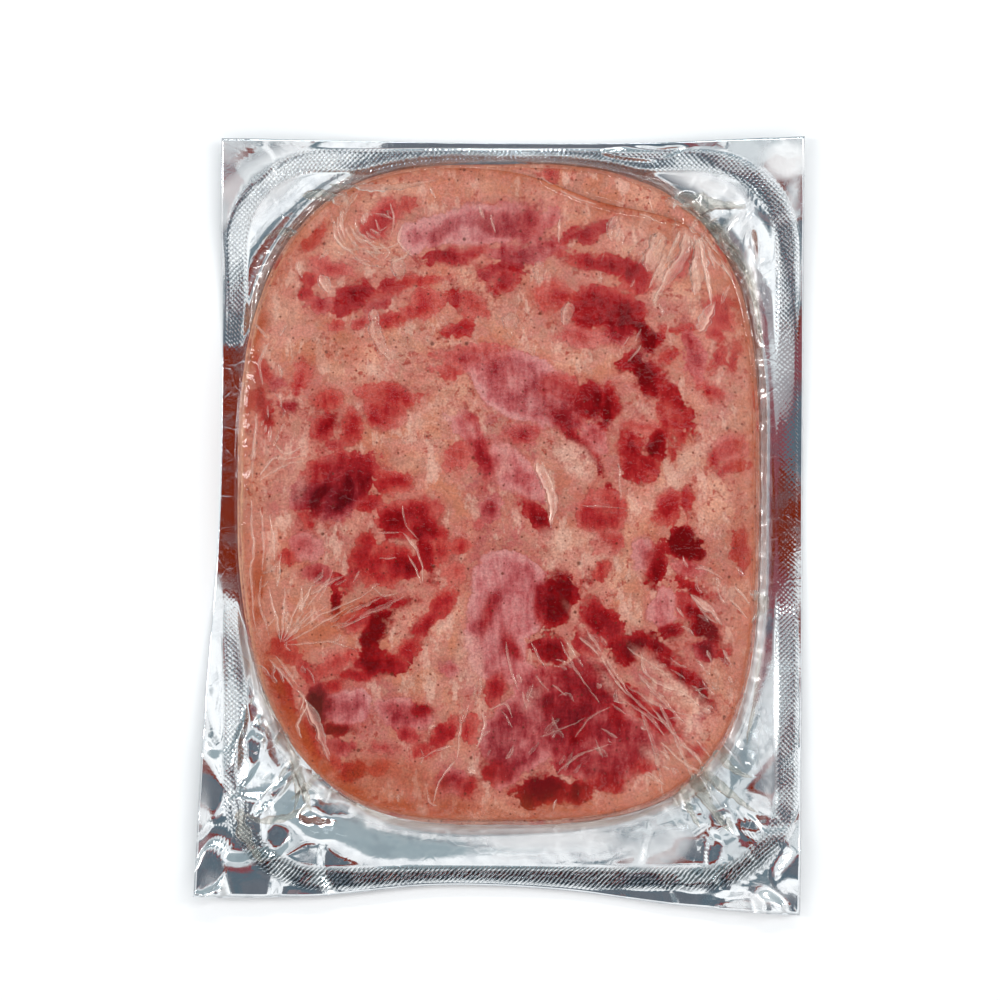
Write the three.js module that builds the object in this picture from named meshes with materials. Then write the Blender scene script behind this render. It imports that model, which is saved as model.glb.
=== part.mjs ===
// A flat vacuum pack of sliced ham.
//
// A foil backing lies on the table. A stack of pressed ham slices lies on the
// foil. One clear film is drawn tight over the stack, drapes down its side and
// is welded to the foil along a band all round. Where the film has too much
// cloth, at the four rounded corners of the stack, it stands up in thin webs.
//
// Millimetres, +Z up. X is the pack's width, Y its length. The origin is the
// middle of the pack's outline, at the level of the table.
import * as THREE from 'three';

// The pack, a rectangle with slightly wandering edges.
const PACK_WIDTH = 134.2;
const PACK_LENGTH = 171.2;
const CORNERS = {
  topLeft: [-60.9, 85.2],
  topRight: [PACK_WIDTH / 2, PACK_LENGTH / 2],
  bottomRight: [66.2, -PACK_LENGTH / 2],
  bottomLeft: [-PACK_WIDTH / 2, -81.4],
};

// How far each edge wanders inwards, at even steps from corner to corner,
// taking the corners anticlockwise.
const EDGE_BOWS = {
  top: [0, 1.1, 1.1, 0.6, 0],
  left: [0, 1.5, 2.4, 0.9, 0],
  bottom: [0, 0.9, 4.0, 3.8, 1.2, 0],
  right: [0, -0.2, -0.2, -0.1, 0],
};

// Sheets and slices.
const FOIL_THICKNESS = 0.3;
const FILM_THICKNESS = 0.25;
const CLEARANCE = 0.3;
const SLICE_THICKNESS = 1.55;
const SLICE_COUNT = 6;

// The ham's outline: a rounded rectangle, each corner with its own squareness.
const HAM_CENTRE = [-0.3, 7.2];
const HAM_HALF_WIDTH = 56.2;
const HAM_HALF_LENGTH = 71.5;
const SQUARENESS = { topRight: 3.3, topLeft: 2.8, bottomLeft: 2.6, bottomRight: 3.6 };

// The vacuum presses the stack's rim down by this much at its top edge.
const RIM_DROP = 1.3;
const RIM_SHARPNESS = 10;
const RIM_SHARES = [0.8, 0.93, 0.985];

// The top slice is short of the one below it near one corner.
const SHORT_ANGLE = THREE.MathUtils.degToRad(69);
const SHORT_SPREAD = THREE.MathUtils.degToRad(10);
const SHORT_DEPTH = 6.4;
const SHORT_BRIDGED = 1.9;
const SHORT_STEP_RUN = 2.4;

// The film lets go of the top slice this far inside its edge, and touches down
// on the slice below this far outside it.
const EDGE_HOLD = 1.9;
const EDGE_LANDING = 1;

// How far each slice lies off the stack's middle, from the lowest up.
const SLICE_SHIFTS = [[0.5, -0.5], [-0.4, 0.3], [0.3, 0.4], [-0.3, -0.3], [0.2, 0.2], [0, 0]];
const SLICE_SHRINK = 0.6;

// The welded band: a rounded rectangle with an outer and an inner edge.
const BAND_CENTRE = [2.65, 1.4];
const BAND_HALF_WIDTH = 63.5;
const BAND_HALF_LENGTH = 81.8;
const BAND_CORNER_RADIUS = 22;
const BAND_WIDTH = 5.6;
const BAND_RELIEF = 0.2;
const BAND_BEVEL = 0.2;
const BAND_LEAST_WIDTH = 1.6;
const TRIM_LEAST_WIDTH = 0.6;

// The film at the foot of the stack.
const WALL_LEAN = 0.7;
const FOOT_REACH = 1.5;
const FOOT_HEIGHT = 0.9;

// The foil lies flat under the stack and its rim curls up off the table.
const FLAT_HALF_WIDTH = 57.2;
const FLAT_HALF_LENGTH = 72.5;
const FLAT_CORNER_RADIUS = 40;
const CURL_RUN = 11;
const CURLS = [
  { at: [-61, 85], height: 3.0, spread: 24 },
  { at: [67, 86], height: 3.4, spread: 26 },
  { at: [66, -86], height: 2.6, spread: 24 },
  { at: [-67, -81], height: 3.2, spread: 26 },
  { at: [0, 84], height: 0.7, spread: 18 },
  { at: [-12, -80], height: 1.5, spread: 26 },
  { at: [-64, -30], height: 1.2, spread: 16 },
  { at: [67, 32], height: 0.9, spread: 14 },
  { at: [67, -34], height: 1.1, spread: 18 },
];

// Webs of spare film: the way each one points from the stack's middle, how far
// over the gutter it runs, how high it stands and how wide its foot is.
const WEBS = [
  { degrees: 41, reach: 0.55, height: 2.2, width: 3.2 },
  { degrees: 49.5, reach: 0.95, height: 5.2, width: 2.6 },
  { degrees: 57, reach: 0.6, height: 3.0, width: 3.4 },
  { degrees: 122, reach: 0.5, height: 2.2, width: 4.5 },
  { degrees: 134, reach: 0.45, height: 1.8, width: 4.5 },
  { degrees: 227.5, reach: 0.9, height: 4.6, width: 2.8 },
  { degrees: 234, reach: 0.95, height: 5.4, width: 2.4 },
  { degrees: 241, reach: 0.6, height: 3.2, width: 2.8 },
  { degrees: 300, reach: 0.6, height: 2.6, width: 3.0 },
  { degrees: 305.5, reach: 0.8, height: 4.8, width: 2.6 },
  { degrees: 312, reach: 0.7, height: 4.0, width: 2.8 },
];

// Points along each side of the pack, closer together towards its corners.
const LONG_SIDE_STEPS = 30;
const SHORT_SIDE_STEPS = 24;
const CORNER_CROWDING = 0.62;
const BISECTIONS = 40;
const MID_GUTTER = 0.55;
const MID_HAM = 0.5;
const SLICE_STEPS = 42;

const STACK_BASE = FOIL_THICKNESS + CLEARANCE;
const STACK_PITCH = SLICE_THICKNESS + CLEARANCE;
const STACK_TOP = STACK_BASE + SLICE_COUNT * STACK_PITCH - CLEARANCE;

const smooth = (x) => THREE.MathUtils.smoothstep(x, 0, 1);
const bell = (x) => Math.exp(-0.5 * x * x);
const turn = (a, b) => Math.atan2(Math.sin(a - b), Math.cos(a - b));

// Signed distance from a rounded rectangle, negative inside.
function roundedRectangle(x, y, [cx, cy], halfWidth, halfLength, radius) {
  const dx = Math.abs(x - cx) - halfWidth + radius;
  const dy = Math.abs(y - cy) - halfLength + radius;
  const outside = Math.hypot(Math.max(dx, 0), Math.max(dy, 0));
  return outside + Math.min(Math.max(dx, dy), 0) - radius;
}

// Height of the foil's underside above the table.
function lift(x, y) {
  const beyond = roundedRectangle(
    x, y, HAM_CENTRE, FLAT_HALF_WIDTH, FLAT_HALF_LENGTH, FLAT_CORNER_RADIUS,
  );
  const rise = smooth(beyond / CURL_RUN);
  const curl = CURLS.reduce((sum, { at, height, spread }) => (
    sum + height * bell(Math.hypot(x - at[0], y - at[1]) / spread)
  ), 0);
  return rise * curl;
}

// Distance from the ham's middle to its outline, at an angle.
function hamRadius(angle) {
  const c = Math.cos(angle);
  const s = Math.sin(angle);
  const right = (1 + c) / 2;
  const up = (1 + s) / 2;
  const power = right * up * SQUARENESS.topRight
    + (1 - right) * up * SQUARENESS.topLeft
    + (1 - right) * (1 - up) * SQUARENESS.bottomLeft
    + right * (1 - up) * SQUARENESS.bottomRight;
  const across = Math.abs(c / HAM_HALF_WIDTH) ** power;
  const along = Math.abs(s / HAM_HALF_LENGTH) ** power;
  return (across + along) ** (-1 / power);
}

const shortfall = (angle) => SHORT_DEPTH * bell(turn(angle, SHORT_ANGLE) / SHORT_SPREAD);

// How far the rim is pressed down, at a share of the way from the ham's middle
// to its outline, on top of a number of slices.
const pressed = (share, slices) => (
  (RIM_DROP * share ** RIM_SHARPNESS * slices) / SLICE_COUNT
);

// The pack's outline, from the top right corner round anticlockwise.
function packOutline() {
  const side = (from, to, bows, steps) => {
    const run = new THREE.Vector2(to[0] - from[0], to[1] - from[1]);
    const inwards = new THREE.Vector2(-run.y, run.x).normalize();
    const bow = new THREE.SplineCurve(bows.map((depth, i) => new THREE.Vector2(i, depth)));
    return Array.from({ length: steps }, (_, i) => {
      const even = i / steps;
      const crowded = (1 - Math.cos(Math.PI * even)) / 2;
      const share = THREE.MathUtils.lerp(even, crowded, CORNER_CROWDING);
      const depth = bow.getPoint(share).y;
      return new THREE.Vector2(...from).addScaledVector(run, share).addScaledVector(inwards, depth);
    });
  };
  const { topLeft, topRight, bottomLeft, bottomRight } = CORNERS;
  return [
    ...side(topRight, topLeft, EDGE_BOWS.top, SHORT_SIDE_STEPS),
    ...side(topLeft, bottomLeft, EDGE_BOWS.left, LONG_SIDE_STEPS),
    ...side(bottomLeft, bottomRight, EDGE_BOWS.bottom, SHORT_SIDE_STEPS),
    ...side(bottomRight, topRight, EDGE_BOWS.right, LONG_SIDE_STEPS),
  ];
}

// Distance along a ray from the ham's middle to the band's outline, drawn in.
function bandDistance(direction, inset) {
  let near = 0;
  let far = PACK_WIDTH + PACK_LENGTH;
  for (let i = 0; i < BISECTIONS; i += 1) {
    const middle = (near + far) / 2;
    const x = HAM_CENTRE[0] + direction.x * middle;
    const y = HAM_CENTRE[1] + direction.y * middle;
    const outside = roundedRectangle(
      x, y, BAND_CENTRE, BAND_HALF_WIDTH - inset, BAND_HALF_LENGTH - inset,
      BAND_CORNER_RADIUS - inset,
    ) > 0;
    if (outside) far = middle;
    else near = middle;
  }
  return near;
}

// One ray for each point of the outline, with the distances where it crosses
// the ham's outline, the two edges of the welded band and the pack's edge.
const RAYS = packOutline().map((end) => {
  const direction = end.clone().sub(new THREE.Vector2(...HAM_CENTRE));
  const edge = direction.length();
  direction.divideScalar(edge);
  const angle = Math.atan2(direction.y, direction.x);
  const ham = hamRadius(angle);
  const outermost = edge - TRIM_LEAST_WIDTH;
  const outer = Math.min(bandDistance(direction, 0), outermost);
  const innermost = ham + FOOT_REACH + TRIM_LEAST_WIDTH;
  const inner = THREE.MathUtils.clamp(
    bandDistance(direction, BAND_WIDTH), innermost, outer - BAND_LEAST_WIDTH,
  );
  return { direction, angle, ham, inner, outer, edge };
});

// A ring of points, one on each ray, from a distance and a height for each.
function ring(distance, height) {
  return RAYS.map((ray) => {
    const d = distance(ray);
    const x = HAM_CENTRE[0] + ray.direction.x * d;
    const y = HAM_CENTRE[1] + ray.direction.y * d;
    return new THREE.Vector3(x, y, height(x, y, ray, d));
  });
}

// A closed plate between an upper and a lower face. Each face is a middle
// point and rings round it, from the innermost out, with as many points each.
function plate(upper, lower) {
  const steps = upper.rings[0].length;
  const points = [];
  const triangles = [];
  const store = (face) => {
    const start = points.length;
    points.push(face.middle, ...face.rings.flat());
    return (ringIndex, step) => start + 1 + ringIndex * steps + (step % steps);
  };
  const band = (a, b, c, d, flip) => {
    triangles.push(...(flip ? [a, c, b, b, c, d] : [a, b, c, b, d, c]));
  };
  const cover = (face, flip) => {
    const middle = points.length;
    const at = store(face);
    for (let i = 0; i < steps; i += 1) {
      const first = [middle, at(0, i), at(0, i + 1)];
      triangles.push(...(flip ? first.reverse() : first));
      for (let r = 1; r < face.rings.length; r += 1) {
        band(at(r - 1, i), at(r, i), at(r - 1, i + 1), at(r, i + 1), flip);
      }
    }
    return at;
  };
  const top = cover(upper, false);
  const bottom = cover(lower, true);
  const upperRim = upper.rings.length - 1;
  const lowerRim = lower.rings.length - 1;
  for (let i = 0; i < steps; i += 1) {
    band(top(upperRim, i), bottom(lowerRim, i), top(upperRim, i + 1), bottom(lowerRim, i + 1), false);
  }
  const geometry = new THREE.BufferGeometry();
  const position = points.flatMap((p) => [p.x, p.y, p.z]);
  geometry.setAttribute('position', new THREE.Float32BufferAttribute(position, 3));
  geometry.setIndex(triangles);
  geometry.computeVertexNormals();
  return geometry;
}

// The same face moved along its own normals.
function offset({ middle, rings }, distance) {
  const moved = rings.map((points, r) => points.map((point, i) => {
    const along = points.at((i + 1) % points.length).clone().sub(points.at(i - 1));
    const inside = r > 0 ? rings[r - 1][i] : middle;
    const outside = r < rings.length - 1 ? rings[r + 1][i] : point;
    const across = outside.clone().sub(inside);
    return point.clone().addScaledVector(across.cross(along).normalize(), distance);
  }));
  return { middle: middle.clone().setZ(middle.z + distance), rings: moved };
}

const middleAt = (z) => new THREE.Vector3(HAM_CENTRE[0], HAM_CENTRE[1], z);

// The rings that foil and film share on the flange, and the band's relief.
const FLANGE = [
  { distance: (ray) => THREE.MathUtils.lerp(ray.ham + FOOT_REACH, ray.inner, MID_GUTTER), relief: 0 },
  { distance: (ray) => ray.inner, relief: 0 },
  { distance: (ray) => THREE.MathUtils.lerp(ray.inner, ray.outer, BAND_BEVEL), relief: BAND_RELIEF },
  { distance: (ray) => THREE.MathUtils.lerp(ray.inner, ray.outer, 1 - BAND_BEVEL), relief: BAND_RELIEF },
  { distance: (ray) => ray.outer, relief: 0 },
  { distance: (ray) => ray.edge, relief: 0 },
];

function foilBacking() {
  const face = (thickness) => ({
    middle: middleAt(thickness),
    rings: [
      ring((ray) => ray.ham + FOOT_REACH, (x, y) => lift(x, y) + thickness),
      ...FLANGE.map(({ distance, relief }) => (
        ring(distance, (x, y) => lift(x, y) + relief + thickness)
      )),
    ],
  });
  return plate(face(FOIL_THICKNESS), face(0));
}

// How high the webs hold the film over the foil, at a distance along a ray.
function webHeight(ray, distance) {
  const gutter = ray.inner - ray.ham;
  return WEBS.reduce((highest, { degrees, reach, height, width }) => {
    const aside = turn(ray.angle, THREE.MathUtils.degToRad(degrees)) * distance;
    const run = (distance - ray.ham) / (gutter * reach);
    return Math.max(highest, height * (1 - smooth(run)) * bell(aside / width));
  }, 0);
}

function clearFilm() {
  const overFoil = FOIL_THICKNESS + CLEARANCE;
  const step = (ray) => (
    STACK_PITCH * smooth((shortfall(ray.angle) - SHORT_BRIDGED) / SHORT_STEP_RUN)
  );
  const overHam = (slicesBelow) => (_x, _y, ray, d) => (
    STACK_TOP + CLEARANCE - pressed(Math.min(d / ray.ham, 1), SLICE_COUNT) - slicesBelow(ray)
  );
  const level = () => 0;
  const draped = (height) => (x, y, ray, d) => (
    lift(x, y) + overFoil + height + webHeight(ray, d)
  );
  const shoulder = STACK_TOP - RIM_DROP - SLICE_THICKNESS / 2;
  const [inmost, middle, outmost] = RIM_SHARES;
  const topEdge = (share, beyond) => (ray) => (
    Math.min(ray.ham * share, ray.ham - shortfall(ray.angle) + beyond)
  );
  const inner = {
    middle: middleAt(STACK_TOP + CLEARANCE),
    rings: [
      ring((ray) => ray.ham * MID_HAM, overHam(level)),
      ring((ray) => ray.ham * inmost, overHam(level)),
      ring(topEdge(middle, -EDGE_HOLD), overHam(level)),
      ring(topEdge(outmost, EDGE_LANDING), overHam(step)),
      ring((ray) => ray.ham + CLEARANCE, overHam(step)),
      ring((ray) => ray.ham + WALL_LEAN, (_x, _y, ray) => shoulder - step(ray)),
      ring((ray) => ray.ham + FOOT_REACH, draped(FOOT_HEIGHT)),
      ...FLANGE.map(({ distance, relief }) => ring(distance, draped(relief))),
    ],
  };
  return plate(offset(inner, FILM_THICKNESS), inner);
}

// One slice of the stack, counted from the lowest.
function slice(index) {
  const isTop = index === SLICE_COUNT - 1;
  const base = STACK_BASE + index * STACK_PITCH;
  const [shiftX, shiftY] = SLICE_SHIFTS[index];
  const outline = Array.from({ length: SLICE_STEPS }, (_, i) => {
    const angle = (i / SLICE_STEPS) * 2 * Math.PI;
    const radius = hamRadius(angle) - SLICE_SHRINK - (isTop ? shortfall(angle) : 0);
    return new THREE.Vector2(Math.cos(angle) * radius, Math.sin(angle) * radius);
  });
  const level = (share, height, slices) => outline.map((point) => {
    const x = shiftX + point.x * share;
    const y = shiftY + point.y * share;
    const reached = Math.hypot(x, y) / hamRadius(Math.atan2(y, x));
    const drop = pressed(reached, slices);
    return new THREE.Vector3(HAM_CENTRE[0] + x, HAM_CENTRE[1] + y, height - drop);
  });
  const top = base + SLICE_THICKNESS;
  const waist = base + SLICE_THICKNESS / 2;
  const upper = {
    middle: middleAt(top),
    rings: RIM_SHARES.map((share) => level(share, top, index + 1)),
  };
  const lower = {
    middle: middleAt(base),
    rings: [...RIM_SHARES.map((share) => level(share, base, index)), level(1, waist, index + 0.5)],
  };
  return plate(upper, lower);
}

function named(name, geometry, material) {
  const mesh = new THREE.Mesh(geometry, material);
  mesh.name = name;
  return mesh;
}

const foil = new THREE.MeshStandardMaterial({ color: 0xc8cdd1, metalness: 1, roughness: 0.22 });
const film = new THREE.MeshStandardMaterial({
  color: 0xf3eeea, metalness: 0, roughness: 0.08, transparent: true, opacity: 0.3,
});
const ham = new THREE.MeshStandardMaterial({ color: 0xbd7268, metalness: 0, roughness: 0.4 });

const pack = new THREE.Group();
pack.add(named('foil_backing', foilBacking(), foil));
for (let index = 0; index < SLICE_COUNT; index += 1) {
  pack.add(named(`ham_slice_${index + 1}`, slice(index), ham));
}
pack.add(named('clear_film', clearFilm(), film));

export default pack;
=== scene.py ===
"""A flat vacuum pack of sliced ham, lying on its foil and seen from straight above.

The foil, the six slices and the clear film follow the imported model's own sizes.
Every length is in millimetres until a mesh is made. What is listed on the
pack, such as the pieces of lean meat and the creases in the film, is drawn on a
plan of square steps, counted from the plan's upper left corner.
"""

import math

import bpy
import numpy as np
from mathutils.bvhtree import BVHTree
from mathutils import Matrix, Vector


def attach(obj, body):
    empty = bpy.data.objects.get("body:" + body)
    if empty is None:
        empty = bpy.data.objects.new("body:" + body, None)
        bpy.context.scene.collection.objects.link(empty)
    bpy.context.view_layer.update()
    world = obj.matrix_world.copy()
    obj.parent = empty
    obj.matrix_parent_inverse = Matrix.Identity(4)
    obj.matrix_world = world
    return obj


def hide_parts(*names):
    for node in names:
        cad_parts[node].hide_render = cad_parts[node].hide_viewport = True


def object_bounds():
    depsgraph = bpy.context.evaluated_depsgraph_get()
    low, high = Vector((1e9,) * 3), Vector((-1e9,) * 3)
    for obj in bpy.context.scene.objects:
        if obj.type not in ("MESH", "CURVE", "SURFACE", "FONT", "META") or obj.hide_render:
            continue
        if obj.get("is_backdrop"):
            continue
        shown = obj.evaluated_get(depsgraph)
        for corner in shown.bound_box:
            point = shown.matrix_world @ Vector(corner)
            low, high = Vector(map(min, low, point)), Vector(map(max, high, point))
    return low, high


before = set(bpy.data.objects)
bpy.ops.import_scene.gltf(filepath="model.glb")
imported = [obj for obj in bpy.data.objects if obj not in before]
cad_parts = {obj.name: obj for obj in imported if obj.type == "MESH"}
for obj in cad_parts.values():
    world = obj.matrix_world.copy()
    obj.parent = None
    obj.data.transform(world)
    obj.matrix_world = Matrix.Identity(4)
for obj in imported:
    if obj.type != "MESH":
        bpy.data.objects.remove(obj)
cad_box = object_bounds()

MM = 0.001

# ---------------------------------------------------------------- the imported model's sizes

CORNERS = {
    "top left": (-60.9, 85.2),
    "top right": (67.1, 85.6),
    "bottom right": (66.2, -85.6),
    "bottom left": (-67.1, -81.4),
}
EDGE_BOWS = {
    "top": (0, 1.1, 1.1, 0.6, 0),
    "left": (0, 1.5, 2.4, 0.9, 0),
    "bottom": (0, 0.9, 4.0, 3.8, 1.2, 0),
    "right": (0, -0.2, -0.2, -0.1, 0),
}
CORNER_CROWDING = 0.62

FOIL_THICKNESS = 0.3
CLEARANCE = 0.3
SLICE_THICKNESS = 1.55
SLICE_COUNT = 6
STACK_BASE = FOIL_THICKNESS + CLEARANCE
STACK_PITCH = SLICE_THICKNESS + CLEARANCE
STACK_TOP = STACK_BASE + SLICE_COUNT * STACK_PITCH - CLEARANCE

HAM_CENTRE = (-0.3, 7.2)
HAM_HALF_WIDTH = 56.2
HAM_HALF_LENGTH = 71.5
SQUARENESS = {"top right": 3.3, "top left": 2.8, "bottom left": 2.6, "bottom right": 3.6}
RIM_DROP = 1.3
RIM_SHARPNESS = 10
SHORT_ANGLE = math.radians(69)
SHORT_SPREAD = math.radians(10)
SHORT_DEPTH = 6.4
SHORT_BRIDGED = 1.9
SHORT_STEP_RUN = 2.4
EDGE_HOLD = 1.9
EDGE_LANDING = 1.0
SLICE_SHIFTS = ((0.5, -0.5), (-0.4, 0.3), (0.3, 0.4), (-0.3, -0.3), (0.2, 0.2), (0, 0))
SLICE_SHRINK = 0.6

BAND_CENTRE = (2.65, 1.4)
BAND_HALF_WIDTH = 63.5
BAND_HALF_LENGTH = 81.8
BAND_CORNER_RADIUS = 22
BAND_WIDTH = 5.6
BAND_RELIEF = 0.2
BAND_BEVEL = 0.2
BAND_LEAST_WIDTH = 1.6
TRIM_LEAST_WIDTH = 0.6
FOOT_REACH = 1.5
FOOT_HEIGHT = 0.9

FLAT_HALF_WIDTH = 57.2
FLAT_HALF_LENGTH = 72.5
FLAT_CORNER_RADIUS = 40
CURL_RUN = 11
# Each curl of the foil's rim: where it is highest, its height and its spread.
CURLS = (
    ((-61, 85), 3.0, 24), ((67, 86), 3.4, 26), ((66, -86), 2.6, 24), ((-67, -81), 3.2, 26),
    ((0, 84), 0.7, 18), ((-12, -80), 1.5, 26), ((-64, -30), 1.2, 16), ((67, 32), 0.9, 14),
    ((67, -34), 1.1, 18),
)
# Each web of spare film: its direction in degrees, its reach over the gutter,
# its height and the width of its foot.
WEBS = (
    (41, 0.55, 2.2, 3.2), (49.5, 0.95, 5.2, 2.6), (57, 0.6, 3.0, 3.4),
    (122, 0.5, 2.2, 4.5), (134, 0.45, 1.8, 4.5),
    (227.5, 0.9, 4.6, 2.8), (234, 0.95, 5.4, 2.4), (241, 0.6, 3.2, 2.8),
    (300, 0.6, 2.6, 3.0), (305.5, 0.8, 4.8, 2.6), (312, 0.7, 4.0, 2.8),
)

# ---------------------------------------------------------------- the plan

PLAN_STEP = 0.22
PLAN_ORIGIN = (499, 526)

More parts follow.
